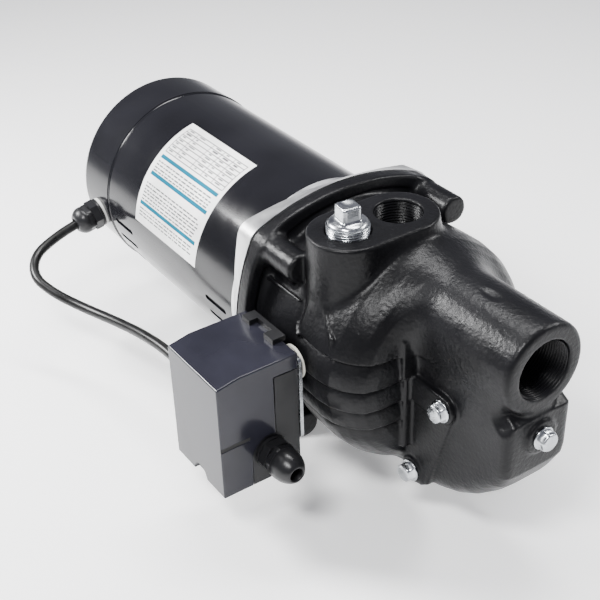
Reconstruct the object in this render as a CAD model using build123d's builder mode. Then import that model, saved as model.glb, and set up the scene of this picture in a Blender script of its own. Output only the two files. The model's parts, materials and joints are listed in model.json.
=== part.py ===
"""Shallow well jet pump: close-coupled motor, cast-iron jet pump and pressure switch.

Millimetres. X is the shaft axis (+X towards the suction end), -Y is the pressure-switch
side and +Z is up. Every dimension below is taken from the point where the shaft axis
crosses the joint between the motor shell and the front end bell; the finished pieces are
written with their origin on the floor, midway between the two slots of the foot.
"""
from math import cos, pi, radians, sin, tan
import os

from build123d import *

os.makedirs("parts", exist_ok=True)

# ---------------------------------------------------------------- motor
SHELL_R = 82.5
SHELL_WALL = 1.8
SHELL_IN_R = SHELL_R - SHELL_WALL
SPIGOT_R = SHELL_IN_R - 0.05
SHELL_REAR_X = -208.5
BELL_RIM_X = -211.5
CANOPY_REAR_X = -257.0
CANOPY_R = 83.0
CANOPY_WALL = 1.6
SLOT_LENGTH = 31.0
SLOT_WIDTH = 4.6
SLOT_GROUP_X = (-182.0, -27.0)
SLOT_ANGLES = (187, 198, 209, 331, 342, 353)

CORE_X0, CORE_X1 = -150.0, -62.0
STATOR_BORE_R = 44.5
STATOR_SLOTS = 24
SLOT_TOOTH_R = 47.0
SLOT_OUTER_R = 65.0
ROTOR_R = 44.0
THROUGH_BOLT_R = 2.5
THROUGH_BOLT_PCR = 76.8

SHAFT_R = 11.0
BEARING_BORE_R = 8.5
BEARING_OD_R = 20.0
BEARING_WIDTH = 12.0
BALL_PCR = 14.4
BALL_R = 2.9
REAR_BEARING_X = -214.0
FRONT_BEARING_X = 6.0
PUMP_SHAFT_R = 7.94
SHAFT_THREAD_R = 6.2

# ---------------------------------------------------------------- pump
FLANGE_X0, FLANGE_X1 = 30.0, 42.0
LOBE_X0 = 12.0
LOBE_CORNER = 79.0
FLANGE_AXIS_R = 97.5
BELL_AXIS_R = 87.5
LOBE_FILLET = 13.0
CASE_BOLT_XY = 69.3
CASE_BOSS_R = 11.0
CASE_BOSS_X1 = 78.0
CASE_BOLT_R = 4.0
CASE_BOLT_END_X = 62.0
SEAL_RECESS_R = 78.0
SEAL_SHOULDER_X = 37.0

PORT_X = 96.5
BOSS_R = 29.0
BOSS_TOP_Z = 100.7
PRIMING_Y = -43.5
PRIMING_R = 15.3
DISCHARGE_R = 16.2
DISCHARGE_DEPTH = 21.0

SUCTION_X = 245.2
SUCTION_Z = 51.6
SUCTION_TUBE_R = 33.5
SUCTION_R = 20.7
SUCTION_DEPTH = 30.0
NOSE_HALF_W = 29.5
NOSE_FRONT_X = 246.0
DRAIN_FACE_X = 249.0
SIDE_FACE_Y = -35.0
SIDE_PLUG = (189.0, 0.0)
LOW_PLUG = (160.0, -73.0)
HEX_PLUG_R = 6.6
PLUG_DEPTH = 9.0

IMPELLER_R = 62.0
NOZZLE_X = 206.0

# ---------------------------------------------------------------- pressure switch
SW_X0, SW_X1 = 42.0, 108.0
SW_FRONT_Y = -160.6
SW_BACK_Y = -95.3
SW_TOP_Z = 27.0
SW_BOTTOM_Z = -72.0
SW_WALL = 2.4
SEAM_Y = -115.0
PLATE_Y0 = -92.7
GLAND_Y = -120.0
GLAND_Z = -48.0
INLET_X, INLET_Z = 94.0, 9.0
CASE_PAD_Y = -88.6
RANGE_X = 70.0
PIVOT_Y, PIVOT_Z = -115.4, -10.0
PIVOT_R = 1.4

# ---------------------------------------------------------------- foot, glands and cable
PAD_Z = -100.0
FOOT_BOTTOM_Z = -122.0
FOOT_X0, FOOT_X1 = -46.0, 29.0
FOOT_HALF_Y = 86.0
FOOT_SLOT_Y = 71.0
FOOT_SLOT_X = -8.5
CABLE_R = 4.3
MOTOR_GLAND_X = -229.0
MOTOR_GLAND_ANGLE = 190.5

LABEL_START, LABEL_END = -156.0, -56.0
LABEL_ANGLES = (103.5, 173.4)


def profile(*points, plane=Plane.XZ):
    """Closed straight-sided outline; on Plane.XZ the points are (x, radius)."""
    with BuildSketch(plane) as sketch:
        with BuildLine():
            Polyline(*points, close=True)
        make_face()
    return sketch.sketch


def lobed_face(x, axis_r):
    """Four-lobed flange outline: bowed sides through axis_r that meet in rounded corners."""
    c = LOBE_CORNER
    with BuildSketch(Plane.YZ.offset(x)) as sketch:
        with BuildLine():
            ThreePointArc((c, -c), (axis_r, 0), (c, c))
            ThreePointArc((c, c), (0, axis_r), (-c, c))
            ThreePointArc((-c, c), (-axis_r, 0), (-c, -c))
            ThreePointArc((-c, -c), (0, -axis_r), (c, -c))
        make_face()
        fillet(sketch.vertices(), LOBE_FILLET)
    return sketch.sketch


def radial_plane(x, angle, distance=0.0):
    """Plane facing outwards from the shaft axis at an angle measured from +Y."""
    out = Vector(0, cos(radians(angle)), sin(radians(angle)))
    return Plane(origin=Vector(x, 0, 0) + out * distance, x_dir=(1, 0, 0), z_dir=out)


def seam_plane(angle):
    """Plane through the shaft axis whose second axis points out at an angle from +Y."""
    a = radians(angle)
    return Plane(origin=(0, 0, 0), x_dir=(1, 0, 0), z_dir=(0, -sin(a), cos(a)))


def save(builder, name):
    """Label one finished sub-part and write it out, measured from the foot's bolt pattern."""
    piece = builder.part.moved(Location((-FOOT_SLOT_X, 0, -FOOT_BOTTOM_Z)))
    piece.label = name
    export_step(piece, f"parts/{name}.step")


# ================================================================= motor shell and ends
with BuildPart() as motor_shell:
    revolve(profile((SHELL_REAR_X, SHELL_IN_R), (SHELL_REAR_X, SHELL_R), (0, SHELL_R),
                    (0, SHELL_IN_R)), axis=Axis.X)
    for slot_x in SLOT_GROUP_X:
        for angle in SLOT_ANGLES:
            with BuildSketch(radial_plane(slot_x, angle, 70)):
                SlotOverall(SLOT_LENGTH, SLOT_WIDTH)
            extrude(amount=30, mode=Mode.SUBTRACT)
save(motor_shell, "motor_shell")

with BuildPart() as rear_canopy:
    edge = 6.0
    inner = CANOPY_R - CANOPY_WALL
    back = CANOPY_REAR_X
    with BuildSketch(Plane.XZ):
        with BuildLine():
            Line((back, 0), (back, CANOPY_R - edge))
            ThreePointArc((back, CANOPY_R - edge),
                          (back + edge * (1 - cos(pi / 4)), CANOPY_R - edge * (1 - sin(pi / 4))),
                          (back + edge, CANOPY_R))
            Polyline((back + edge, CANOPY_R), (BELL_RIM_X, CANOPY_R), (BELL_RIM_X, inner),
                     (back + edge, inner), (back + CANOPY_WALL, inner - edge + CANOPY_WALL),
                     (back + CANOPY_WALL, 0), (back, 0))
        make_face()
    revolve(axis=Axis.X)
    with BuildSketch(radial_plane(MOTOR_GLAND_X, MOTOR_GLAND_ANGLE, 60)):
        Circle(9.2)
    extrude(amount=40, mode=Mode.SUBTRACT)
    with BuildSketch(Plane.YZ.offset(back)):
        with PolarLocations(70.0, 2, start_angle=45):
            Circle(2.2)
    extrude(amount=8, both=True, mode=Mode.SUBTRACT)
save(rear_canopy, "rear_canopy")

with BuildPart() as canopy_screws:
    for angle in (45, 225):
        y, z = 70.0 * cos(radians(angle)), 70.0 * sin(radians(angle))
        with BuildSketch(Plane.YZ.offset(CANOPY_REAR_X)):
            with Locations((y, z)):
                Circle(4.0)
        extrude(amount=-2.4)
        with BuildSketch(Plane.YZ.offset(CANOPY_REAR_X)):
            with Locations((y, z)):
                Circle(2.0)
        extrude(amount=38.4)
        with BuildSketch(Plane.YZ.offset(CANOPY_REAR_X - 2.4)):
            with Locations((y, z)):
                Rectangle(5.6, 1.0)
                Rectangle(1.0, 5.6)
        extrude(amount=1.2, mode=Mode.SUBTRACT)
save(canopy_screws, "canopy_screws")

# Aluminium bell that closes the back of the shell and carries the rear bearing.
with BuildPart() as rear_end_bell:
    revolve(profile((-218.5, 81.3), (BELL_RIM_X, 81.3), (BELL_RIM_X, 83.4), (SHELL_REAR_X, 83.4),
                    (SHELL_REAR_X, SPIGOT_R), (-199, SPIGOT_R), (-199, 73), (-206, 73), (-206, 27),
                    (-200, 27), (-200, 12), (-202, 12), (-202, BEARING_OD_R), (-214, BEARING_OD_R),
                    (-214, 27), (-211, 27), (-211, 65), (-218.5, 65)), axis=Axis.X)
    with BuildSketch(Plane.YZ.offset(-220)):
        with PolarLocations(46, 6):
            Circle(10)
    extrude(amount=18, mode=Mode.SUBTRACT)
    with BuildSketch(Plane.YZ.offset(-220)):
        with PolarLocations(THROUGH_BOLT_PCR, 4, start_angle=45):
            Circle(THROUGH_BOLT_R + 0.1)
        with PolarLocations(70.0, 2, start_angle=45):
            Circle(2.05)
    extrude(amount=24, mode=Mode.SUBTRACT)
save(rear_end_bell, "rear_end_bell")

# Aluminium bell between motor and pump: round neck flaring into the four-lobed flange.
with BuildPart() as front_end_bell:
    revolve(profile((-9, 0), (-9, SPIGOT_R), (0, SPIGOT_R), (0, 83.2), (FLANGE_X0, 83.2),
                    (FLANGE_X0, 0)), axis=Axis.X)
    loft(sections=[lobed_face(LOBE_X0, BELL_AXIS_R), lobed_face(FLANGE_X0, FLANGE_AXIS_R)])
    with BuildSketch(Plane.XY.offset(PAD_Z)):
        with Locations((18.0, 0)):
            RectangleRounded(22, 72, 4)
    extrude(amount=20)
    # hollows: motor side, pump side round the bearing hub, and the bearing seat
    revolve(profile((-9, 0), (-9, 73), (2, 73), (2, 27), (-2, 27), (-2, 0)), axis=Axis.X,
            mode=Mode.SUBTRACT)
    revolve(profile((8, 27), (8, 68), (FLANGE_X0, 68), (FLANGE_X0, 0), (20, 0), (20, 27)),
            axis=Axis.X, mode=Mode.SUBTRACT)
    revolve(profile((-2, 0), (-2, BEARING_OD_R), (18, BEARING_OD_R), (18, 12), (20, 12), (20, 0)),
            axis=Axis.X, mode=Mode.SUBTRACT)
    with BuildSketch(Plane.YZ.offset(-10)):
        with PolarLocations(THROUGH_BOLT_PCR, 4, start_angle=45):
            Circle(THROUGH_BOLT_R + 0.02)
    extrude(amount=16, mode=Mode.SUBTRACT)
    with BuildSketch(Plane.YZ.offset(FLANGE_X0)):
        with GridLocations(2 * CASE_BOLT_XY, 2 * CASE_BOLT_XY, 2, 2):
            Circle(CASE_BOLT_R + 0.3)
    extrude(amount=LOBE_X0 - FLANGE_X0, mode=Mode.SUBTRACT)
    with BuildSketch(Plane.XY.offset(PAD_Z)):
        with Locations((18.0, 24.0), (18.0, -24.0)):
            Circle(4.0)
    extrude(amount=14, mode=Mode.SUBTRACT)
    with Locations((19, 84, 0), (19, -84, 0)):
        Box(12, 40, 22, mode=Mode.SUBTRACT)
save(front_end_bell, "front_end_bell")

with BuildPart() as through_bolts:
    for angle in (45, 135, 225, 315):
        y, z = THROUGH_BOLT_PCR * cos(radians(angle)), THROUGH_BOLT_PCR * sin(radians(angle))
        with BuildSketch(Plane.YZ.offset(-218.5)):
            with Locations((y, z)):
                Circle(THROUGH_BOLT_R)
        extrude(amount=223)
        with BuildSketch(Plane.YZ.offset(-218.5)):
            with Locations((y, z)):
                RegularPolygon(4.3, 6, rotation=angle)
        extrude(amount=-3.4)
save(through_bolts, "through_bolts")

# ================================================================= motor internals
with BuildPart() as stator_core:
    revolve(profile((CORE_X0, STATOR_BORE_R), (CORE_X0, SPIGOT_R), (CORE_X1, SPIGOT_R),
                    (CORE_X1, STATOR_BORE_R)), axis=Axis.X)
    with BuildSketch(Plane.YZ.offset(CORE_X0)):
        with PolarLocations((SLOT_TOOTH_R + SLOT_OUTER_R) / 2, STATOR_SLOTS):
            Rectangle(SLOT_OUTER_R - SLOT_TOOTH_R, 6.0)
        with PolarLocations(45.5, STATOR_SLOTS):
            Rectangle(4.0, 2.2)
        with PolarLocations(THROUGH_BOLT_PCR + 2, 4, start_angle=45):
            Rectangle(11.0, 7.0)
    extrude(amount=CORE_X1 - CORE_X0, mode=Mode.SUBTRACT)
save(stator_core, "stator_core")

with BuildPart() as stator_windings:
    with BuildSketch(Plane.YZ.offset(CORE_X0 - 4)):
        with PolarLocations((SLOT_TOOTH_R + SLOT_OUTER_R) / 2, STATOR_SLOTS):
            Rectangle(SLOT_OUTER_R - SLOT_TOOTH_R - 0.6, 5.4)
    extrude(amount=CORE_X1 - CORE_X0 + 8)
    for x0, x1 in ((CORE_X0 - 24, CORE_X0 - 0.5), (CORE_X1 + 0.5, CORE_X1 + 24)):
        with BuildSketch(Plane.XZ):
            with Locations(((x0 + x1) / 2, 57)):
                RectangleRounded(x1 - x0, 19, 6)
        revolve(axis=Axis.X)
save(stator_windings, "stator_windings")

with BuildPart() as rotor_core:
    revolve(profile((CORE_X0, SHAFT_R), (CORE_X0, ROTOR_R), (CORE_X1, ROTOR_R), (CORE_X1, SHAFT_R)),
            axis=Axis.X)
save(rotor_core, "rotor_core")

# Cast end rings of the squirrel cage, with stirring fins.
with BuildPart() as rotor_cage_rings:
    for x0, x1, fin in ((CORE_X0, CORE_X0 - 8, -9), (CORE_X1, CORE_X1 + 8, 9)):
        revolve(profile((x0, 26), (x0, 42), (x1, 42), (x1, 26)), axis=Axis.X)
        with BuildSketch(Plane.YZ.offset(x1)):
            with PolarLocations(36, 8):
                Rectangle(11, 2.4)
        extrude(amount=fin)
save(rotor_cage_rings, "rotor_cage_rings")

with BuildPart() as motor_shaft:
    revolve(profile((-246, 0), (-246, 7.2), (-245, 8.0), (-214, 8.0), (-214, BEARING_BORE_R),
                    (-202, BEARING_BORE_R), (-202, SHAFT_R), (6, SHAFT_R), (6, BEARING_BORE_R),
                    (18, BEARING_BORE_R), (18, PUMP_SHAFT_R), (60, PUMP_SHAFT_R),
                    (60, SHAFT_THREAD_R), (79, SHAFT_THREAD_R), (80, 5.4), (80, 0)), axis=Axis.X)
    with BuildSketch(Plane.YZ.offset(-246)):
        Rectangle(12, 1.6)
    extrude(amount=2.5, mode=Mode.SUBTRACT)
save(motor_shaft, "motor_shaft")


def race(x0, r0, r1):
    """One bearing race with its ball groove; call inside the race's own build."""
    return profile((x0, r0), (x0, r1), (x0 + BEARING_WIDTH, r1), (x0 + BEARING_WIDTH, r0))


def groove(x0):
    """Round section of the ball track."""
    with BuildSketch(Plane.XZ) as sketch:
        with Locations((x0 + BEARING_WIDTH / 2, BALL_PCR)):
            Circle(BALL_R + 0.08)
    return sketch.sketch


with BuildPart() as bearing_outer_races:
    for bearing_x in (REAR_BEARING_X, FRONT_BEARING_X):
        revolve(race(bearing_x, 16.4, BEARING_OD_R), axis=Axis.X)
        revolve(groove(bearing_x), axis=Axis.X, mode=Mode.SUBTRACT)
save(bearing_outer_races, "bearing_outer_races")

with BuildPart() as bearing_inner_races:
    for bearing_x in (REAR_BEARING_X, FRONT_BEARING_X):
        revolve(race(bearing_x, BEARING_BORE_R, 12.2), axis=Axis.X)
        revolve(groove(bearing_x), axis=Axis.X, mode=Mode.SUBTRACT)
save(bearing_inner_races, "bearing_inner_races")

# Nine balls in each bearing, held together by a thin cage ring.
with BuildPart() as bearing_balls:
    for bearing_x in (REAR_BEARING_X, FRONT_BEARING_X):
        middle = bearing_x + BEARING_WIDTH / 2
        for i in range(9):
            a = radians(40 * i)
            with Locations((middle, BALL_PCR * cos(a), BALL_PCR * sin(a))):
                Sphere(BALL_R)
        revolve(profile((middle - 0.6, BALL_PCR - 0.9), (middle - 0.6, BALL_PCR + 0.9),
                        (middle + 0.6, BALL_PCR + 0.9), (middle + 0.6, BALL_PCR - 0.9)), axis=Axis.X)
save(bearing_balls, "bearing_balls")

# Start gear behind the rear bearing, under the canopy.
with BuildPart() as governor_base:
    revolve(profile((-221, 8.0), (-221, 20), (-219, 20), (-219, 12), (-216, 12), (-216, 8.0)),
            axis=Axis.X)
    for side in (1, -1):
        with Locations((-223.5, 0, side * 16)):
            Box(5, 14, 5)
save(governor_base, "governor_base")

with BuildPart() as governor_collar:
    revolve(profile((-240, 8.06), (-240, 22), (-238, 22), (-238, 12), (-230, 12), (-230, 8.06)),
            axis=Axis.X)
save(governor_collar, "governor_collar")

with BuildPart() as terminal_board:
    with BuildSketch(Plane.YZ.offset(-222.0)):
        with Locations((0, -50)):
            RectangleRounded(84, 40, 5)
    extrude(amount=3.0)
    with BuildSketch(Plane.YZ.offset(-219.0)):
        with Locations((-24, -54), (24, -54)):
            Circle(4)
    extrude(amount=8.0)
    with Locations((-232.5, 0, -44.7)):
        Box(21, 12, 6.8)
save(terminal_board, "terminal_board")

with BuildPart() as start_contact_arm:
    with Locations((-243, 0, -28)):
        Box(1.2, 10, 22)
    with Locations((-241.5, 0, -19)):
        Box(2.4, 8, 4)
    with BuildSketch(Plane.XZ.offset(-7)):
        with Locations((-243, -39)):
            Circle(2.0)
    extrude(amount=14)
save(start_contact_arm, "start_contact_arm")

with BuildPart() as start_capacitor:
    with BuildSketch(Plane.XZ.offset(-39)):
        with Locations((-236, 49)):
            Circle(16.5)
    extrude(amount=78)
    fillet(start_capacitor.edges().filter_by(GeomType.CIRCLE), 2)
    with Locations((-236, 41, 54), (-236, 41, 44)):
        Box(6.4, 6, 0.8)
save(start_capacitor, "start_capacitor")

# Label stuck on the upper switch side of the shell.
with BuildPart() as rating_label:
    revolve(profile((LABEL_START, SHELL_R + 0.02), (LABEL_START, SHELL_R + 0.3), (LABEL_END, SHELL_R + 0.3),
                    (LABEL_END, SHELL_R + 0.02), plane=seam_plane(LABEL_ANGLES[0])),
            axis=Axis.X, revolution_arc=LABEL_ANGLES[1] - LABEL_ANGLES[0])
save(rating_label, "rating_label")

# ================================================================= pump casing
DRUM = ((42, 85.5), (79, 84.0), (84, 82.5), (90, 87.5), (118, 88.0), (130, 86.3), (140, 82.3),
        (148, 77.0), (153, 70.5), (155, 62.0))
CAVITY = ((37, 75), (44, 79), (118, 79), (132, 76), (140, 71), (146, 63), (148, 50))
NOSE_BOTTOM = ((118, -84), (140, -87.5), (160, -88), (180, -84.5), (200, -76), (215, -66),
               (230, -52), (240, -40), (NOSE_FRONT_X, -27))
RIDGE_Z = (27.0, 6.0, -11.0, -28.0)
RIDGE_DEPTH = 2.4
NOSE_CORNER = 15.0
CASTING_SEAM = 250.0

# Thin terraces moulded round the switch side of the drum, cut later as narrow grooves.
with BuildPart() as ridge_grooves:
    revolve(profile((88, 0), (88, 95), (170, 95), (170, 0), plane=seam_plane(CASTING_SEAM)), axis=Axis.X)
    revolve(profile((88, 0), *[(x, r - RIDGE_DEPTH) for x, r in DRUM[3:-2]], (151, 68), (152.6, 60),
                    (152.6, 0), plane=seam_plane(CASTING_SEAM)), axis=Axis.X, mode=Mode.SUBTRACT)
    with BuildSketch(Plane.YZ.offset(88)):
        with Locations(*[(-66, z) for z in RIDGE_Z]):
            Rectangle(56, 1.8)
    extrude(amount=90, mode=Mode.INTERSECT)

def nose_section(x, bottom, corner):
    """Front view of the nose block at one station: flat top, rounded lower corners."""
    w, c = NOSE_HALF_W, corner
    d = c * (1 - cos(pi / 4))
    with BuildSketch(Plane.YZ.offset(x)) as sketch:
        with BuildLine():
            Polyline((-w, bottom + c), (-w, 16), (w, 16), (w, bottom + c))
            ThreePointArc((w, bottom + c), (w - d, bottom + d), (w - c, bottom))
            Line((w - c, bottom), (c - w, bottom))
            ThreePointArc((c - w, bottom), (d - w, bottom + d), (-w, bottom + c))
        make_face()
    return sketch.sketch


# Nose block with its rounded belly and the sloping front ledge.
with BuildPart() as nose_block:
    loft(sections=[nose_section(x, z, NOSE_CORNER) for x, z in NOSE_BOTTOM], ruled=True)
    with BuildSketch(Plane.XZ.offset(-NOSE_HALF_W)):
        with BuildLine():
            Polyline((118, 10), (NOSE_FRONT_X, 10), (NOSE_FRONT_X, 16), (237, 22), (237, 60), (118, 60),
                     close=True)
        make_face()
    extrude(amount=2 * NOSE_HALF_W)

with BuildPart() as pump_casing:
    extrude(lobed_face(FLANGE_X0, FLANGE_AXIS_R), amount=FLANGE_X1 - FLANGE_X0, dir=(1, 0, 0))
    revolve(profile((FLANGE_X0, 0), (FLANGE_X0, 70), (40, 85.5), *DRUM, (155, 0),
                    plane=seam_plane(CASTING_SEAM)), axis=Axis.X)
    # oblong boss for the priming plug and the discharge port
    with BuildSketch(Plane.XY.offset(BOSS_TOP_Z)):
        with Locations((PORT_X, PRIMING_Y / 2)):
            SlotCenterToCenter(-PRIMING_Y, 2 * BOSS_R, rotation=90)
    extrude(amount=-88)
    # suction tube
    with BuildSketch(Plane.YZ.offset(SUCTION_X)):
        with Locations((0, SUCTION_Z)):
            Circle(SUCTION_TUBE_R)
    extrude(amount=-132)
    add(nose_block.part)
    # raised web carrying the gauge plug, boss for the lower plug, boss for the nose plug
    with BuildSketch(Plane.XZ.offset(-SIDE_FACE_Y)):
        with Locations(((150 + SIDE_PLUG[0]) / 2, 0)):
            SlotCenterToCenter(SIDE_PLUG[0] - 150, 21)
        with Locations(LOW_PLUG):
            Circle(10)
    extrude(amount=SIDE_FACE_Y + 10)
    with BuildSketch(Plane.YZ.offset(DRAIN_FACE_X)):
        Circle(13)
    extrude(amount=-20)
    # flat pad for the pressure-switch inlet
    with BuildSketch(Plane.XZ.offset(-CASE_PAD_Y)):
        with Locations((INLET_X, INLET_Z)):
            Circle(14)
    extrude(amount=CASE_PAD_Y + 70)
    # four bolt bosses with the webs that tie them to the drum
    with BuildSketch(Plane.YZ.offset(CASE_BOSS_X1)):
        with GridLocations(2 * CASE_BOLT_XY, 2 * CASE_BOLT_XY, 2, 2):
            Circle(CASE_BOSS_R)
        with PolarLocations(86, 4, start_angle=45):
            Rectangle(24, 2 * CASE_BOSS_R - 1)
    extrude(amount=FLANGE_X0 + 3 - CASE_BOSS_X1)
    # pump cavity, seal-plate recess and machined ports
    revolve(profile((FLANGE_X0, 0), (FLANGE_X0, SEAL_RECESS_R), (SEAL_SHOULDER_X, SEAL_RECESS_R),
                    *CAVITY, (148, 0), plane=seam_plane(CASTING_SEAM)), axis=Axis.X, mode=Mode.SUBTRACT)
    for radius, top, depth in ((DISCHARGE_R, BOSS_TOP_Z, DISCHARGE_DEPTH), (14.0, BOSS_TOP_Z, 60)):
        with BuildSketch(Plane.XY.offset(top)):
            with Locations((PORT_X, 0)):
                Circle(radius)
        extrude(amount=-depth, mode=Mode.SUBTRACT)
    with BuildSketch(Plane.XY.offset(BOSS_TOP_Z)):
        with Locations((PORT_X, PRIMING_Y)):
            Circle(PRIMING_R)
    extrude(amount=-56, mode=Mode.SUBTRACT)
    for radius, depth in ((SUCTION_R, SUCTION_DEPTH), (17.0, 62.0)):
        with BuildSketch(Plane.YZ.offset(SUCTION_X)):
            with Locations((0, SUCTION_Z)):
                Circle(radius)
        extrude(amount=-depth, mode=Mode.SUBTRACT)
    with BuildSketch(Plane.XY.offset(SUCTION_Z)):
        with Locations((187, 0)):
            Circle(16.5)
    extrude(amount=-SUCTION_Z, mode=Mode.SUBTRACT)
    # suction chamber round the jet, nozzle seat, pressure chamber and nose plug hole
    revolve(profile((158, 0), (158, 18), (NOZZLE_X, 18), (NOZZLE_X, 10), (216, 10), (216, 14),
                    (238, 14), (238, HEX_PLUG_R), (DRAIN_FACE_X, HEX_PLUG_R), (DRAIN_FACE_X, 0),
                    plane=seam_plane(CASTING_SEAM)), axis=Axis.X, mode=Mode.SUBTRACT)
    with BuildSketch(Plane.YZ.offset(146)):
        Circle(13.2)
    extrude(amount=14, mode=Mode.SUBTRACT)
    # pressure passage along the side of the nose to the chamber ahead of the nozzle
    with BuildSketch(Plane.YZ.offset(140)):
        with Locations((-23.5, 0)):
            Circle(3.5)
    extrude(amount=88, mode=Mode.SUBTRACT)
    with BuildSketch(Plane.XZ.offset(27)):
        with Locations((224.5, 0)):
            Circle(3.5)
    extrude(amount=-20, mode=Mode.SUBTRACT)
    # side plug hole, lower plug hole with its drilling, switch inlet hole
    with BuildSketch(Plane.XZ.offset(-SIDE_FACE_Y)):
        with Locations(SIDE_PLUG, LOW_PLUG):
            Circle(HEX_PLUG_R)
    extrude(amount=-11.5, mode=Mode.SUBTRACT)
    with BuildSketch(Plane.YZ.offset(164)):
        with Locations((-26, -71)):
            Circle(3.5)
    extrude(amount=-36, mode=Mode.SUBTRACT)
    with BuildSketch(Plane.XZ.offset(-CASE_PAD_Y)):
        with Locations((INLET_X, INLET_Z)):
            Circle(6.6)
    extrude(amount=-20, mode=Mode.SUBTRACT)
    # blind threaded holes for the case bolts
    with BuildSketch(Plane.YZ.offset(FLANGE_X0)):
        with GridLocations(2 * CASE_BOLT_XY, 2 * CASE_BOLT_XY, 2, 2):
            Circle(CASE_BOLT_R)
    extrude(amount=CASE_BOLT_END_X + 2 - FLANGE_X0, mode=Mode.SUBTRACT)
    add(ridge_grooves.part, mode=Mode.SUBTRACT)
save(pump_casing, "pump_casing")

# Bolts put in from behind the bell, screwed into the blind bosses of the casing.
with BuildPart() as case_bolts:
    for y in (-CASE_BOLT_XY, CASE_BOLT_XY):
        for z in (-CASE_BOLT_XY, CASE_BOLT_XY):
            with BuildSketch(Plane.YZ.offset(LOBE_X0)):
                with Locations((y, z)):
                    Circle(CASE_BOLT_R)
            extrude(amount=CASE_BOLT_END_X - LOBE_X0)
            with BuildSketch(Plane.YZ.offset(LOBE_X0)):
                with Locations((y, z)):
                    RegularPolygon(7.2, 6)
            extrude(amount=-5.3)
save(case_bolts, "case_bolts")

# ================================================================= wet end internals
with BuildPart() as seal_plate:
    revolve(profile((30.2, 9.5), (30.2, 77.8), (32.4, 77.8), (32.4, 75.2), (35.6, 75.2),
                    (35.6, 77.8), (37, 77.8), (37, 20), (47, 20), (47, 17), (38, 17), (38, 9.5)),
            axis=Axis.X)
save(seal_plate, "seal_plate")

with BuildPart() as casing_o_ring:
    with BuildSketch(Plane.XZ):
        with Locations((34, 76.6)):
            Circle(1.3)
    revolve(axis=Axis.X)
save(casing_o_ring, "casing_o_ring")

with BuildPart() as water_slinger:
    revolve(profile((21.5, PUMP_SHAFT_R), (21.5, 21), (23, 21), (24, 12), (26, 12), (26, PUMP_SHAFT_R)),
            axis=Axis.X)
save(water_slinger, "water_slinger")

with BuildPart() as seal_seat:
    revolve(profile((38, 9.6), (38, 17), (46.5, 17), (46.5, 14), (47, 14), (47, 9.6)), axis=Axis.X)
save(seal_seat, "seal_seat")

with BuildPart() as seal_carbon:
    revolve(profile((47.2, 9.4), (47.2, 12.4), (49, 12.4), (49, 14.5), (51, 14.5), (51, 9.4)), axis=Axis.X)
save(seal_carbon, "seal_carbon")

with BuildPart() as seal_bellows:
    revolve(profile((51, PUMP_SHAFT_R), (51, 14), (52, 14), (52, 9.4), (58.4, 9.4), (58.4, PUMP_SHAFT_R)),
            axis=Axis.X)
save(seal_bellows, "seal_bellows")

with BuildPart() as seal_spring:
    with BuildLine():
        coil = Helix(pitch=2.2, height=4.6, radius=11.4, center=(52.8, 0, 0), direction=(1, 0, 0))
    with BuildSketch(Plane(origin=coil @ 0, z_dir=coil % 0)):
        Circle(0.7)
    sweep(path=coil, is_frenet=True)
save(seal_spring, "seal_spring")

BLADES = 6


def blade_face(x):
    """Backward-curved impeller vanes as one sketch."""
    with BuildSketch(Plane.YZ.offset(x)) as sketch:
        for blade in range(BLADES):
            outer, inner = [], []
            for step in range(9):
                t = step / 8
                r = 21 + 40 * t
                a = radians(360 / BLADES * blade - 75 * t)
                half = 1.2 / r
                outer.append((r * cos(a + half), r * sin(a + half)))
                inner.append((r * cos(a - half), r * sin(a - half)))
            with BuildLine():
                Polyline(*outer, *reversed(inner), close=True)
            make_face()
    return sketch.sketch


with BuildPart() as impeller:
    revolve(profile((58.6, SHAFT_THREAD_R), (58.6, PUMP_SHAFT_R), (60, PUMP_SHAFT_R), (60, SHAFT_THREAD_R),
                    (81, SHAFT_THREAD_R), (81, 10), (66, 14), (62.5, 16), (62.5, IMPELLER_R),
                    (60, IMPELLER_R), (60, 14), (58.6, 14)), axis=Axis.X)
    revolve(profile((72, 23), (72, IMPELLER_R), (74.5, IMPELLER_R), (74.5, 25.5), (83, 25.5), (83, 23)),
            axis=Axis.X)
    extrude(blade_face(62.3), amount=9.9, dir=(1, 0, 0))
save(impeller, "impeller")

# Guide-vane ring round the impeller; the venturi plugs into its front.
with BuildPart() as diffuser:
    revolve(profile((57, 64), (57, 73.5), (90, 73.5), (90, 27), (104, 27), (104, 18.2), (92, 18.2),
                    (92, 16), (86, 16), (86, 26.1), (76.5, 26.1), (76.5, 29), (85, 29), (85, 64)),
            axis=Axis.X)
    with BuildSketch(Plane.YZ.offset(60)):
        with PolarLocations(69, 9):
            Rectangle(14, 13, rotation=35)
    extrude(amount=14, mode=Mode.SUBTRACT)
save(diffuser, "diffuser")

with BuildPart() as venturi_tube:
    revolve(profile((92, 14.6), (92, 18.15), (104, 18.15), (110, 17), (145, 13), (186, 13), (186, 10.5),
                    (174, 6.6), (166, 6.6)), axis=Axis.X)
save(venturi_tube, "venturi_tube")

with BuildPart() as jet_nozzle:
    revolve(profile((191, 3.4), (191, 5.2), (201, 9), (203, 9), (203, 13), (NOZZLE_X, 13), (NOZZLE_X, 9.95),
                    (215.5, 9.95), (215.5, 8)), axis=Axis.X)
save(jet_nozzle, "jet_nozzle")


GAUGE_PLACE = Plane(origin=(SIDE_PLUG[0], SIDE_FACE_Y, SIDE_PLUG[1]), x_dir=(1, 0, 0), z_dir=(0, -1, 0))
DRAIN_PLACE = Plane(origin=(LOW_PLUG[0], SIDE_FACE_Y, LOW_PLUG[1]), x_dir=(1, 0, 0), z_dir=(0, -1, 0))
NOSE_PLACE = Plane(origin=(DRAIN_FACE_X, 0, 0), x_dir=(0, 1, 0), z_dir=(1, 0, 0))

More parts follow.
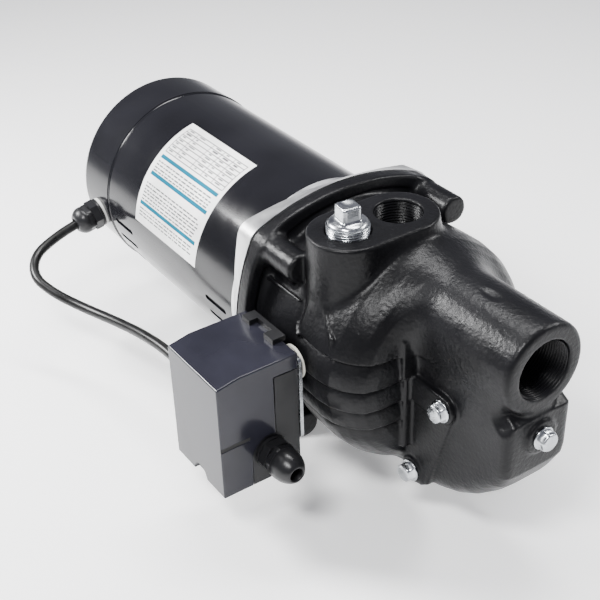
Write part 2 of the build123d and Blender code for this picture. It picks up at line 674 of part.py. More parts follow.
# Hexagon-head pipe plugs with washer faces: one in the side, one in front of the jet
# and the lower one that drains the case.
for plug_name, places in (("port_plugs", (GAUGE_PLACE, NOSE_PLACE)), ("drain_plug", (DRAIN_PLACE,))):
    with BuildPart() as hex_plugs:
        for place in places:
            with BuildSketch(place):
                Circle(HEX_PLUG_R)
            extrude(amount=-PLUG_DEPTH)
            with BuildSketch(place):
                Circle(8.4)
            extrude(amount=1.4)
            with BuildSketch(place.offset(1.4)):
                RegularPolygon(7.4, 6)
            extrude(amount=6.2)
    save(hex_plugs, plug_name)

with BuildPart() as priming_plug:
    with BuildSketch(Plane.XY.offset(BOSS_TOP_Z - 16)):
        with Locations((PORT_X, PRIMING_Y)):
            Circle(PRIMING_R - 0.05)
    extrude(amount=22)
    with BuildSketch(Plane.XY.offset(BOSS_TOP_Z + 6)):
        with Locations((PORT_X, PRIMING_Y)):
            RectangleRounded(14.5, 14.5, 2.0)
    extrude(amount=14)
save(priming_plug, "priming_plug")

# ================================================================= foot
with BuildPart() as mounting_foot:
    with BuildSketch(Plane.YZ.offset(FOOT_X0)):
        with BuildLine():
            Polyline((-37, PAD_Z), (37, PAD_Z), (54, -116), (FOOT_HALF_Y, -116),
                     (FOOT_HALF_Y, FOOT_BOTTOM_Z), (51.4, FOOT_BOTTOM_Z), (34.5, PAD_Z - 6),
                     (-34.5, PAD_Z - 6), (-51.4, FOOT_BOTTOM_Z), (-FOOT_HALF_Y, FOOT_BOTTOM_Z),
                     (-FOOT_HALF_Y, -116), (-54, -116), close=True)
        make_face()
    extrude(amount=FOOT_X1 - FOOT_X0)
    with BuildSketch(Plane.XY.offset(FOOT_BOTTOM_Z)):
        with GridLocations(0, 2 * FOOT_SLOT_Y, 1, 2):
            with Locations((FOOT_SLOT_X, 0)):
                SlotOverall(24, 11, rotation=90)
    extrude(amount=8, mode=Mode.SUBTRACT)
    with BuildSketch(Plane.XY.offset(PAD_Z - 8)):
        with Locations((18, 24), (18, -24)):
            Circle(4.3)
    extrude(amount=10, mode=Mode.SUBTRACT)
save(mounting_foot, "mounting_foot")

with BuildPart() as foot_bolts:
    for y in (-24, 24):
        with BuildSketch(Plane.XY.offset(PAD_Z - 6)):
            with Locations((18, y)):
                Circle(4.0)
        extrude(amount=18)
        with BuildSketch(Plane.XY.offset(PAD_Z - 6)):
            with Locations((18, y)):
                RegularPolygon(7.2, 6)
        extrude(amount=-5.3)
save(foot_bolts, "foot_bolts")

# ================================================================= pressure switch
TAB_R = 15.5


def tab_face(x, grow=0.0):
    """Side of the switch base that fills the cut-out in the hood round each gland."""
    with BuildSketch(Plane.YZ.offset(x)) as sketch:
        with Locations((GLAND_Y, GLAND_Z)):
            Circle(TAB_R + grow)
        with Locations((GLAND_Y, (GLAND_Z + SW_BOTTOM_Z) / 2)):
            Rectangle(2 * (TAB_R + grow), GLAND_Z - SW_BOTTOM_Z)
        with Locations(((SEAM_Y + SW_BACK_Y) / 2, (SW_BOTTOM_Z + 14) / 2)):
            Rectangle(SW_BACK_Y - SEAM_Y + 2 * grow, 14 - SW_BOTTOM_Z + 2 * grow)
    return sketch.sketch


with BuildPart() as switch_hood:
    with BuildSketch(Plane.YZ.offset(SW_X0)):
        with BuildLine():
            Polyline((SW_BACK_Y, SW_BOTTOM_Z), (SW_FRONT_Y, SW_BOTTOM_Z), (SW_FRONT_Y, 23.5),
                     (-143, SW_TOP_Z), (SW_BACK_Y, SW_TOP_Z), close=True)
        make_face()
    extrude(amount=SW_X1 - SW_X0)
    with BuildSketch(Plane.YZ.offset(SW_X0 + SW_WALL)):
        with BuildLine():
            Polyline((SW_BACK_Y + 1, SW_BOTTOM_Z + SW_WALL), (SW_FRONT_Y + SW_WALL, SW_BOTTOM_Z + SW_WALL),
                     (SW_FRONT_Y + SW_WALL, 23.5 - SW_WALL), (-143, SW_TOP_Z - SW_WALL),
                     (SW_BACK_Y + 1, SW_TOP_Z - SW_WALL), close=True)
        make_face()
    extrude(amount=SW_X1 - SW_X0 - 2 * SW_WALL, mode=Mode.SUBTRACT)
    extrude(tab_face(SW_X0 - 1, 0.3), amount=SW_X1 - SW_X0 + 2, dir=(1, 0, 0), mode=Mode.SUBTRACT)
    # arched notch in the lower edge of the end face
    with BuildSketch(Plane.XZ.offset(-SW_FRONT_Y)):
        with Locations(((SW_X0 + SW_X1) / 2, SW_BOTTOM_Z)):
            Circle(9)
    extrude(amount=-4, mode=Mode.SUBTRACT)
save(switch_hood, "switch_hood")

with BuildPart() as switch_base:
    with Locations(((SW_X0 + SW_X1) / 2, SW_BACK_Y - 1.6, (SW_BOTTOM_Z + 22) / 2)):
        Box(SW_X1 - SW_X0 - 0.8 - 2 * SW_WALL, 3.2, 22 - SW_BOTTOM_Z - 2 * SW_WALL)
    extrude(tab_face(SW_X0 + 0.4), amount=SW_WALL, dir=(1, 0, 0))
    extrude(tab_face(SW_X1 - 0.4 - SW_WALL), amount=SW_WALL, dir=(1, 0, 0))
    with Locations((SW_X0 + 2.8, SW_BACK_Y - 1.6, -29), (SW_X1 - 2.8, SW_BACK_Y - 1.6, -29)):
        Box(4, 3.2, 84)
    # posts with the short pivot pins of the rocker
    for post_x, pin_x in ((60.2, 61.4), (103.8, 100.4)):
        with Locations((post_x, (SW_BACK_Y + PIVOT_Y - 6) / 2, PIVOT_Z)):
            Box(2.4, SW_BACK_Y - PIVOT_Y + 2, 7)
        with BuildSketch(Plane.YZ.offset(pin_x)):
            with Locations((PIVOT_Y, PIVOT_Z)):
                Circle(PIVOT_R)
        extrude(amount=2.2)
    with BuildSketch(Plane.YZ.offset(SW_X0)):
        with Locations((GLAND_Y, GLAND_Z)):
            Circle(9.1)
    extrude(amount=SW_X1 - SW_X0, mode=Mode.SUBTRACT)
    with BuildSketch(Plane.XZ.offset(-SW_BACK_Y)):
        with Locations((INLET_X, INLET_Z)):
            Circle(7.2)
        with Locations((RANGE_X, INLET_Z)):
            Circle(3.1)
    extrude(amount=4, both=True, mode=Mode.SUBTRACT)
save(switch_base, "switch_base")

with BuildPart() as switch_latch:
    with BuildSketch(Plane.XY.offset(SW_TOP_Z)):
        with Locations((70.5, -98.6)):
            Rectangle(39.5, 10.8)
        with Locations((69.7, -100.5)):
            Rectangle(18.5, 7.0, mode=Mode.SUBTRACT)
    extrude(amount=4)
save(switch_latch, "switch_latch")

with BuildPart() as switch_plate:
    with BuildSketch(Plane.XZ.offset(-SW_BACK_Y)):
        with Locations((76.5, -13.5)):
            RectangleRounded(65, 69, 3)
        with Locations((INLET_X, INLET_Z)):
            Circle(6.7, mode=Mode.SUBTRACT)
        with Locations((RANGE_X, INLET_Z)):
            Circle(3.1, mode=Mode.SUBTRACT)
    extrude(amount=SW_BACK_Y - PLATE_Y0)
save(switch_plate, "switch_plate")

INLET_PLANE = Plane(origin=(INLET_X, 0, INLET_Z), x_dir=(1, 0, 0), z_dir=(0, -1, 0))
with BuildPart() as switch_nipple:
    with BuildSketch(INLET_PLANE.offset(78)):
        Circle(6.55)
        Circle(3.2, mode=Mode.SUBTRACT)
    extrude(amount=20.6)
    with BuildSketch(INLET_PLANE.offset(-PLATE_Y0 - 2.2)):
        RegularPolygon(9.8, 6)
        Circle(5, mode=Mode.SUBTRACT)
    extrude(amount=2.2)
save(switch_nipple, "switch_nipple")

with BuildPart() as inlet_washer:
    with BuildSketch(INLET_PLANE.offset(-CASE_PAD_Y)):
        Circle(13)
        Circle(6.6, mode=Mode.SUBTRACT)
    extrude(amount=1.9)
save(inlet_washer, "inlet_washer")

with BuildPart() as switch_diaphragm:
    with BuildSketch(INLET_PLANE.offset(98.8)):
        Circle(11)
    extrude(amount=1.2)
save(switch_diaphragm, "switch_diaphragm")

with BuildPart() as switch_plunger:
    with BuildSketch(INLET_PLANE.offset(100.3)):
        Circle(8)
    extrude(amount=2)
    with BuildSketch(INLET_PLANE.offset(102.3)):
        Circle(3.5)
    extrude(amount=7.2)
save(switch_plunger, "switch_plunger")

with BuildPart() as switch_rocker:
    with BuildSketch(Plane.XZ.offset(110.2)):
        with Locations((82, -7)):
            RectangleRounded(40, 46, 3)
        with Locations((RANGE_X, INLET_Z)):
            Circle(4.4, mode=Mode.SUBTRACT)
    extrude(amount=1.8)
    for side_x in (62.8, 101.2):
        with Locations((side_x, PIVOT_Y, PIVOT_Z)):
            Box(1.6, 9.0, 9.0)
    with BuildSketch(Plane.YZ.offset(60)):
        with Locations((PIVOT_Y, PIVOT_Z)):
            Circle(PIVOT_R + 0.05)
    extrude(amount=44, mode=Mode.SUBTRACT)
save(switch_rocker, "switch_rocker")

with BuildPart() as moving_contacts:
    with Locations((76, -108.2, -34), (92, -108.2, -34)):
        Box(7, 1.6, 16)
    with BuildSketch(Plane.XZ.offset(104.6)):
        with Locations((76, -39), (92, -39)):
            Circle(2.4)
    extrude(amount=2.8)
    with Locations((84, -109.6, -27.5)):
        Box(26, 1.2, 5)
save(moving_contacts, "moving_contacts")

with BuildPart() as contact_block:
    with Locations((84, -100.3, -50)):
        Box(40, 3.4, 30)
    for x in (66, 75.3, 92.7, 102):
        with Locations((x, -103.5, -56)):
            Box(1.6, 3.0, 16)
save(contact_block, "contact_block")

with BuildPart() as contact_terminals:
    for x in (70.6, 84.0, 97.4):
        with Locations((x, -102.5, -56)):
            Box(5.6, 1.0, 14)
        with BuildSketch(Plane.XZ.offset(103.0)):
            with Locations((x, -57)):
                Circle(2.6)
        extrude(amount=1.8)
save(contact_terminals, "contact_terminals")

with BuildPart() as range_stud:
    with BuildSketch(Plane.XZ.offset(-PLATE_Y0 + 0.1)):
        with Locations((RANGE_X, INLET_Z)):
            Circle(3.0)
    extrude(amount=56)
    with BuildSketch(Plane.XZ.offset(136)):
        with Locations((RANGE_X, INLET_Z)):
            RegularPolygon(6.2, 6)
            Circle(3.0, mode=Mode.SUBTRACT)
    extrude(amount=5)
save(range_stud, "range_stud")

with BuildPart() as range_spring:
    with BuildLine():
        coil = Helix(pitch=3.2, height=20.8, radius=6.6, center=(RANGE_X, -113.6, INLET_Z),
                     direction=(0, -1, 0))
    with BuildSketch(Plane(origin=coil @ 0, z_dir=coil % 0)):
        Circle(0.9)
    sweep(path=coil, is_frenet=True)
save(range_spring, "range_spring")

# ================================================================= cable glands
FRONT_GLAND = Plane(origin=(SW_X1 + 0.1, GLAND_Y, GLAND_Z), x_dir=(0, 1, 0), z_dir=(1, 0, 0))
REAR_GLAND = Plane(origin=(SW_X0 - 0.1, GLAND_Y, GLAND_Z), x_dir=(0, 1, 0), z_dir=(-1, 0, 0))
MOTOR_GLAND = radial_plane(MOTOR_GLAND_X, MOTOR_GLAND_ANGLE, CANOPY_R + 1.9)
DOME_LENGTH = {"switch_front": 17.0, "switch_rear": 17.0, "motor": 10.5}

# Threaded tail, hexagon collar and neck of each cable gland.
with BuildPart() as gland_bodies:
    for place in (FRONT_GLAND, REAR_GLAND, MOTOR_GLAND):
        with BuildSketch(place.offset(-9.5)):
            Circle(9.0)
            Circle(6.3, mode=Mode.SUBTRACT)
        extrude(amount=22.9)
        with BuildSketch(place):
            Circle(13.0)
            Circle(6.3, mode=Mode.SUBTRACT)
        extrude(amount=2.4)
        with BuildSketch(place.offset(2.4)):
            RegularPolygon(13.6, 6)
            Circle(6.3, mode=Mode.SUBTRACT)
        extrude(amount=7.0)
save(gland_bodies, "gland_bodies")

# Rubber sleeves that the nuts squeeze onto the cable.
with BuildPart() as gland_seals:
    for place in (FRONT_GLAND, REAR_GLAND, MOTOR_GLAND):
        with BuildSketch(place):
            Circle(6.2)
            Circle(CABLE_R + 0.02, mode=Mode.SUBTRACT)
        extrude(amount=13.0)
save(gland_seals, "gland_seals")

with BuildPart() as gland_locknuts:
    for place in (FRONT_GLAND, REAR_GLAND):
        with BuildSketch(place.offset(-3.0)):
            RegularPolygon(12.6, 6)
            Circle(9.02, mode=Mode.SUBTRACT)
        extrude(amount=-3.6)
save(gland_locknuts, "gland_locknuts")

# Domed clamping nuts.
for gland_name, place in (("switch_front", FRONT_GLAND), ("switch_rear", REAR_GLAND), ("motor", MOTOR_GLAND)):
    with BuildPart() as gland_nut:
        with BuildSketch(place.offset(9.5)):
            RegularPolygon(13.0, 6)
        extrude(amount=5)
        shoulder = 0.6 * DOME_LENGTH[gland_name]
        with BuildSketch(place.offset(14.5)):
            Circle(11.9)
        extrude(amount=shoulder, taper=4)
        with BuildSketch(place.offset(14.5 + shoulder)):
            Circle(11.9 - shoulder * tan(radians(4)))
        extrude(amount=DOME_LENGTH[gland_name] - shoulder, taper=30)
        with BuildSketch(place.offset(9.4)):
            Circle(9.05)
        extrude(amount=4.1, mode=Mode.SUBTRACT)
        with BuildSketch(place.offset(9.4)):
            Circle(CABLE_R + 0.8)
        extrude(amount=30, mode=Mode.SUBTRACT)
    save(gland_nut, f"{gland_name}_gland_nut")

with BuildPart() as motor_gland_washer:
    with BuildSketch(MOTOR_GLAND):
        Circle(12.6)
        Circle(9.05, mode=Mode.SUBTRACT)
    extrude(amount=-4.0)
    with BuildSketch(Plane.YZ.offset(MOTOR_GLAND_X - 20)):
        Circle(CANOPY_R + 0.02)
    extrude(amount=40, mode=Mode.SUBTRACT)
save(motor_gland_washer, "motor_gland_washer")

# Cable from the motor gland round to the rear gland of the switch.
CABLE_ROUTE = (tuple(MOTOR_GLAND.origin + MOTOR_GLAND.z_dir * 2.0), (-229.0, -106.2, -19.7),
               (-228.1, -130.1, -26.4), (-221.9, -153.0, -33.5), (-201.3, -164.2, -41.2),
               (-178.7, -157.2, -48.4), (-156.7, -146.4, -53.2), (-133.4, -137.6, -53.9),
               (-106.0, -130.7, -51.3), (-76.0, -126.0, -47.0), (-42.0, -121.8, -45.0),
               (-5.0, GLAND_Y, GLAND_Z), (32.0, GLAND_Y, GLAND_Z))


def cable_path(route):
    """Straight runs joined by tangent arcs, and the exact length of the result."""
    points = [Vector(*p) for p in route]
    radii, length = [], (points[1] - points[0]).length
    for before, here, after in zip(points, points[1:], points[2:]):
        run_in, run_out = here - before, after - here
        turn = radians(run_in.get_angle(run_out))
        radius = 0.45 * min(run_in.length, run_out.length) / tan(turn / 2)
        radii.append(radius)
        length += run_out.length - radius * (2 * tan(turn / 2) - turn)
    return points, radii, length


with BuildPart() as cable:
    points, radii, cable_length = cable_path(CABLE_ROUTE)
    with BuildLine():
        route = FilletPolyline(*points, radius=radii)
    with BuildSketch(Plane(origin=route @ 0, z_dir=route % 0)):
        Circle(CABLE_R)
    sweep(path=route)
save(cable, "cable")
print("cable radii", [round(r, 1) for r in radii])
print("cable length", round(cable_length, 1), "volume ratio",
      round(cable.part.volume / (pi * CABLE_R ** 2 * cable_length), 4))
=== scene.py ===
"""Looks of the shallow well jet pump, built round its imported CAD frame."""

import json
import math

import bmesh
import bpy
import numpy as np
from mathutils import Matrix, Vector


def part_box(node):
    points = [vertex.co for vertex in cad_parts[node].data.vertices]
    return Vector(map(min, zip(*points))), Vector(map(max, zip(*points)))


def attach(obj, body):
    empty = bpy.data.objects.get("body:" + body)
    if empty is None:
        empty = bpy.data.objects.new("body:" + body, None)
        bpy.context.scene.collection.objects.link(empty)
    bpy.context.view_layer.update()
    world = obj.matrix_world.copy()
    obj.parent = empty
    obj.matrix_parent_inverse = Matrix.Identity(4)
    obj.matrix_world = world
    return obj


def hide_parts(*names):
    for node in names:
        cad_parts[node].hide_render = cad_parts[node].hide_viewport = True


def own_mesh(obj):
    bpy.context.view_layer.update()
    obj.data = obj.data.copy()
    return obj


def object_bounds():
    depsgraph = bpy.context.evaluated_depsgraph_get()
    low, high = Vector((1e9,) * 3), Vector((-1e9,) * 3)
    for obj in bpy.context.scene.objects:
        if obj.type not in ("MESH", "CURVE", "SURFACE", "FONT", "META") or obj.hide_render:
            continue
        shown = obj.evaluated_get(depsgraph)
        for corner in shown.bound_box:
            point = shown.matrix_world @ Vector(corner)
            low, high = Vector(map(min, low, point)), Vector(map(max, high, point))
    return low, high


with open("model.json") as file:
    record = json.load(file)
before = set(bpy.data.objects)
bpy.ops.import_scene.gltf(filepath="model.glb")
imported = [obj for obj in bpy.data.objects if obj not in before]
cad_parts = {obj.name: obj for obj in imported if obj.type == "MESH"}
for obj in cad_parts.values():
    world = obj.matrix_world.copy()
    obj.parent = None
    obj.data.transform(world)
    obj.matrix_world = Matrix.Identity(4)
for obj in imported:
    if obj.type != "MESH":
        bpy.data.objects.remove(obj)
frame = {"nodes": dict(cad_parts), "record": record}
cad_lo, cad_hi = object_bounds()
MM = 0.001

# Working point of every dimension below, in millimetres: where the shaft axis crosses the
# joint between the motor shell and the front end bell.
shell_lo, shell_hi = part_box("motor_shell")
AXIS = Vector((shell_hi.x, (shell_lo.y + shell_hi.y) / 2, (shell_lo.z + shell_hi.z) / 2))
SHELL_R = (shell_hi.z - shell_lo.z) / 2 / MM


def at(x, y, z):
    """Point of the row frame from millimetres round the shaft axis."""
    return AXIS + Vector((x, y, z)) * MM


def box_mm(node):
    """Box of a CAD node in millimetres round the shaft axis, as two numpy rows."""
    lo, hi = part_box(node)
    return np.array([(lo - AXIS) / MM, (hi - AXIS) / MM])


# ------------------------------------------------------------------ camera
AZIMUTH, ELEVATION, ROLL = (math.radians(a) for a in (56.31, 33.31, -1.78))
CAMERA_PLACE = (644.15, -449.42, 492.42)
FOCAL_LENGTH = 69.63
back = Vector((math.sin(AZIMUTH) * math.cos(ELEVATION), -math.cos(AZIMUTH) * math.cos(ELEVATION),
               math.sin(ELEVATION)))
level = Vector((math.cos(AZIMUTH), math.sin(AZIMUTH), 0))
over = back.cross(level)
right = level * math.cos(ROLL) + over * math.sin(ROLL)
up = over * math.cos(ROLL) - level * math.sin(ROLL)
camera_data = bpy.data.cameras.new("camera")
camera_data.lens = FOCAL_LENGTH
camera_data.sensor_width = 36.0
camera_data.clip_start = 0.01
camera_data.clip_end = 50.0
camera = bpy.data.objects.new("camera", camera_data)
bpy.context.scene.collection.objects.link(camera)
camera.matrix_world = Matrix(((right.x, up.x, back.x, 0), (right.y, up.y, back.y, 0),
                              (right.z, up.z, back.z, 0), (0, 0, 0, 1)))
camera.location = at(*CAMERA_PLACE)
bpy.context.scene.camera = camera


# ------------------------------------------------------------------ materials
NOISE_LOW, NOISE_HIGH = 0.3, 0.7


class Look:
    """A node material built up from a few procedural layers."""

    def __init__(self, name, color, roughness, metallic=0.0, **sockets):
        self.material = bpy.data.materials.new(name)
        self.material.use_nodes = True
        self.tree = self.material.node_tree
        self.shader = self.tree.nodes["Principled BSDF"]
        self.shader.inputs["Base Color"].default_value = (*color, 1)
        self.shader.inputs["Roughness"].default_value = roughness
        self.shader.inputs["Metallic"].default_value = metallic
        for key, value in sockets.items():
            self.shader.inputs[key.replace("_", " ")].default_value = value
        self.coords = self.tree.nodes.new("ShaderNodeTexCoord").outputs["Object"]
        self.normal = None

    def node(self, kind, **values):
        made = self.tree.nodes.new(kind)
        for key, value in values.items():
            setattr(made, key, value)
        return made

    def stretched(self, x, y, z):
        """Object coordinates scaled along each axis."""
        mapping = self.node("ShaderNodeMapping")
        mapping.inputs["Scale"].default_value = (x, y, z)
        self.tree.links.new(self.coords, mapping.inputs["Vector"])
        return mapping.outputs["Vector"]

    def noise(self, scale, detail=3.0, rough=0.55, vector=None, distortion=0.0):
        made = self.node("ShaderNodeTexNoise")
        made.inputs["Scale"].default_value = scale
        made.inputs["Detail"].default_value = detail
        made.inputs["Roughness"].default_value = rough
        made.inputs["Distortion"].default_value = distortion
        self.tree.links.new(vector or self.coords, made.inputs["Vector"])
        return made.outputs["Fac"]

    def cells(self, scale, vector=None, feature="F1"):
        made = self.node("ShaderNodeTexVoronoi", feature=feature)
        made.inputs["Scale"].default_value = scale
        self.tree.links.new(vector or self.coords, made.inputs["Vector"])
        return made.outputs["Distance"]

    def spread(self, value, low, high, out_low, out_high):
        made = self.node("ShaderNodeMapRange")
        for index, number in enumerate((low, high, out_low, out_high)):
            made.inputs[index + 1].default_value = number
        self.tree.links.new(value, made.inputs[0])
        return made.outputs[0]

    def bump(self, height, distance, strength=1.0):
        made = self.node("ShaderNodeBump")
        made.inputs["Distance"].default_value = distance
        made.inputs["Strength"].default_value = strength
        self.tree.links.new(height, made.inputs["Height"])
        if self.normal is not None:
            self.tree.links.new(self.normal, made.inputs["Normal"])
        self.normal = made.outputs["Normal"]
        self.tree.links.new(self.normal, self.shader.inputs["Normal"])

    def roughness(self, value, smooth, rough):
        """Roughness from smooth to rough over the useful range of a noise."""
        spread = self.spread(value, NOISE_LOW, NOISE_HIGH, smooth, rough)
        self.tree.links.new(spread, self.shader.inputs["Roughness"])

    def tint(self, value, dark, light, low=0.35, high=0.65):
        ramp = self.node("ShaderNodeValToRGB")
        ramp.color_ramp.elements[0].position = low
        ramp.color_ramp.elements[0].color = (*dark, 1)
        ramp.color_ramp.elements[1].position = high
        ramp.color_ramp.elements[1].color = (*light, 1)
        self.tree.links.new(value, ramp.inputs["Fac"])
        self.tree.links.new(ramp.outputs["Color"], self.shader.inputs["Base Color"])


def enamel():
    """Gloss black enamel of the rolled steel shell, with very faint orange peel."""
    look = Look("gloss_black_enamel", (0.006, 0.006, 0.007), 0.14, IOR=1.36)
    look.tint(look.noise(9, 2), (0.004, 0.004, 0.005), (0.009, 0.009, 0.011))
    look.bump(look.noise(18, 2), 0.0006, 0.12)
    look.roughness(look.noise(30, 4), 0.1, 0.19)
    return look.material


def casting_paint(name, grain=1.0, rough=(0.29, 0.41)):
    """Black paint over sand-cast iron: rounded grains, a few pits, uneven gloss."""
    look = Look(name, (0.003, 0.003, 0.004), 0.3, IOR=1.26)
    look.tint(look.noise(14, 4), (0.0025, 0.0025, 0.003), (0.006, 0.006, 0.007))
    grains = look.noise(420, 4, 0.6)
    look.bump(grains, 0.0005, 0.5 * grain)
    look.bump(look.cells(330, feature="SMOOTH_F1"), 0.0005, 0.35 * grain)
    look.bump(look.noise(75, 3), 0.0006, 0.08 * grain)
    look.roughness(look.noise(50, 5), *rough)
    return look.material


def cast_aluminium():
    """Satin die-cast aluminium with turned edges and a little staining."""
    look = Look("cast_aluminium", (0.7, 0.7, 0.7), 0.4, 1.0)
    look.tint(look.noise(34, 5), (0.5, 0.51, 0.52), (0.74, 0.74, 0.735), 0.3, 0.62)
    look.bump(look.noise(520, 3), 0.0003, 0.35)
    look.bump(look.noise(60, 3), 0.0008, 0.18)
    look.roughness(look.noise(42, 4), 0.3, 0.52)
    return look.material


def zinc(name="bright_zinc", color=(0.52, 0.54, 0.56)):
    """Bright zinc plating over slightly hammered steel."""
    look = Look(name, color, 0.2, 1.0)
    look.tint(look.noise(70, 4), tuple(0.72 * c for c in color), color, 0.32, 0.6)
    look.bump(look.noise(300, 3), 0.0002, 0.3)
    look.bump(look.noise(90, 2), 0.0002, 0.15)
    look.roughness(look.noise(120, 4), 0.14, 0.34)
    return look.material


def plastic(name, color, roughness, grain=0.25, scale=700, ior=1.36):
    """Moulded plastic with a fine spark-eroded grain."""
    look = Look(name, color, roughness, IOR=ior)
    look.tint(look.noise(20, 3), tuple(0.8 * c for c in color), tuple(1.15 * c for c in color))
    look.bump(look.noise(scale, 2), 0.00012, grain)
    look.bump(look.noise(22, 2), 0.0006, 0.06)
    look.roughness(look.noise(60, 4), roughness * 0.85, roughness * 1.2)
    return look.material


def rubber(name, color, roughness=0.45):
    look = Look(name, color, roughness, IOR=1.32)
    look.tint(look.noise(40, 3), tuple(0.75 * c for c in color), tuple(1.2 * c for c in color))
    look.bump(look.noise(480, 3), 0.00015, 0.3)
    look.roughness(look.noise(80, 3), roughness * 0.85, roughness * 1.2)
    return look.material


def metal(name, color, roughness, grain=200, lines=None):
    """Machined or drawn metal; lines stretches the grain along one axis."""
    look = Look(name, color, roughness, 1.0)
    vector = look.stretched(*lines) if lines else None
    look.tint(look.noise(grain / 4, 4, vector=vector), tuple(0.75 * c for c in color), color)
    look.bump(look.noise(grain, 3, vector=vector), 0.00015, 0.3)
    look.roughness(look.noise(grain / 3, 4, vector=vector), roughness * 0.8, roughness * 1.3)
    return look.material


ENAMEL = enamel()
CAST = casting_paint("painted_casting")
CAST_SMOOTH = casting_paint("painted_casting_face", 0.3, (0.22, 0.34))
ALUMINIUM = cast_aluminium()
ZINC = zinc()
HOOD_PLASTIC = plastic("switch_hood_plastic", (0.014, 0.014, 0.02), 0.14, 0.06)
BASE_PLASTIC = plastic("switch_base_plastic", (0.006, 0.006, 0.007), 0.42, 0.3)
GLAND_PLASTIC = plastic("gland_nylon", (0.009, 0.009, 0.01), 0.32, 0.35)
IVORY = plastic("ivory_washer", (0.72, 0.7, 0.62), 0.45, 0.4)
GREY = plastic("grey_washer", (0.5, 0.5, 0.48), 0.5, 0.4)
SHEATH = rubber("cable_sheath", (0.008, 0.008, 0.008), 0.3)
SEAL = rubber("black_rubber", (0.012, 0.012, 0.012), 0.55)
SHAFT = metal("ground_steel", (0.6, 0.6, 0.61), 0.25, 400, (1, 20, 20))
CORE = metal("laminated_steel", (0.34, 0.34, 0.36), 0.45, 900, (60, 1, 1))
COPPER = metal("varnished_copper", (0.55, 0.24, 0.09), 0.3, 500, (2, 12, 12))
BRASS = metal("rolled_brass", (0.72, 0.52, 0.2), 0.28)
CAGE = metal("cast_cage", (0.66, 0.67, 0.68), 0.4)
PHENOLIC = plastic("brown_phenolic", (0.09, 0.045, 0.022), 0.4, 0.4)
CERAMIC = plastic("white_ceramic", (0.8, 0.79, 0.75), 0.18, 0.1)
CARBON = plastic("lapped_carbon", (0.03, 0.03, 0.033), 0.35, 0.3)
NORYL = plastic("glass_filled_plastic", (0.02, 0.02, 0.022), 0.4, 0.5)
FOOT_PAINT = plastic("black_paint", (0.01, 0.01, 0.011), 0.3, 0.3, 500)

LABEL_LOOKS = [
    plastic("label_white", (0.8, 0.8, 0.79), 0.4, 0.05),
    plastic("label_ink", (0.05, 0.05, 0.055), 0.4, 0.05),
    plastic("label_cyan", (0.0, 0.1, 0.16), 0.6, 0.05, ior=1.08),
]

CAD_LOOKS = {
    ENAMEL: ["motor_shell", "rear_canopy", "rear_end_bell"],
    ALUMINIUM: ["front_end_bell"],
    CAST: ["pump_casing"],
    ZINC: ["canopy_screws", "through_bolts", "case_bolts", "foot_bolts", "port_plugs", "drain_plug",
           "switch_plate", "switch_nipple", "range_stud", "priming_plug"],
    FOOT_PAINT: ["mounting_foot"],
    CORE: ["stator_core", "rotor_core"],
    COPPER: ["stator_windings"],
    CAGE: ["rotor_cage_rings"],
    SHAFT: ["motor_shaft", "bearing_outer_races", "bearing_inner_races", "bearing_balls",
            "range_spring", "seal_spring"],
    PHENOLIC: ["governor_base", "governor_collar", "terminal_board"],
    BRASS: ["start_contact_arm", "moving_contacts", "contact_terminals"],
    BASE_PLASTIC: ["start_capacitor", "switch_base", "contact_block", "switch_rocker",
                   "switch_plunger", "switch_latch"],
    CAST_SMOOTH: ["seal_plate"],
    SEAL: ["casing_o_ring", "water_slinger", "seal_bellows", "gland_seals", "switch_diaphragm"],
    CERAMIC: ["seal_seat"],
    CARBON: ["seal_carbon"],
    NORYL: ["impeller", "diffuser", "venturi_tube", "jet_nozzle"],
    HOOD_PLASTIC: ["switch_hood"],
    LABEL_LOOKS[0]: ["rating_label"],
    IVORY: ["inlet_washer"],
    GREY: ["motor_gland_washer"],
    GLAND_PLASTIC: ["gland_bodies", "gland_locknuts", "switch_front_gland_nut",
                    "switch_rear_gland_nut", "motor_gland_nut"],
}
for look, names in CAD_LOOKS.items():
    for name in names:
        mesh = frame["nodes"][name].data
        mesh.materials.clear()
        mesh.materials.append(look)


# ------------------------------------------------------------------ helpers
def new_object(name, vertices, faces, material, body="pump", smooth=True):
    """Mesh object from millimetre vertices round the shaft axis, riding on a body."""
    mesh = bpy.data.meshes.new(name)
    points = np.asarray(vertices, float) * MM + np.array(AXIS)
    mesh.from_pydata([tuple(p) for p in points], [], [tuple(f) for f in faces])
    mesh.validate()
    mesh.materials.append(material)
    made = bpy.data.objects.new(name, mesh)
    bpy.context.scene.collection.objects.link(made)
    if smooth:
        mesh.shade_smooth()
    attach(made, body)
    return made


def bake_modifiers(made):
    """Replaces an object's mesh by its evaluated one."""
    graph = bpy.context.evaluated_depsgraph_get()
    graph.update()
    mesh = bpy.data.meshes.new_from_object(made.evaluated_get(graph))
    made.modifiers.clear()
    made.data = mesh


WELD = 1e-6
SCRAP_FACES = 12


def drop_scraps(data):
    """Takes faces of no area and loose scraps of a few faces out of a mesh."""
    mesh = bmesh.new()
    mesh.from_mesh(data)
    bmesh.ops.dissolve_degenerate(mesh, dist=WELD, edges=mesh.edges)
    seen = set()
    scraps = []
    for start in mesh.faces:
        if start in seen:
            continue
        seen.add(start)
        island = [start]
        for face in island:
            for edge in face.edges:
                if len(edge.link_faces) != 2:
                    continue
                for other in edge.link_faces:
                    if other not in seen:
                        seen.add(other)
                        island.append(other)
        if len(island) < SCRAP_FACES:
            scraps.extend(island)
    bmesh.ops.delete(mesh, geom=scraps, context="FACES")
    mesh.to_mesh(data)
    mesh.free()


# ------------------------------------------------------------------ turned and lofted pieces
def frame_of(origin, axis):
    """Two directions square to an axis, with the origin and the axis itself, as numpy."""
    w = np.array(Vector(axis).normalized())
    u = np.array(Vector(w).orthogonal().normalized())
    return np.array(origin, float), u, np.cross(w, u), w


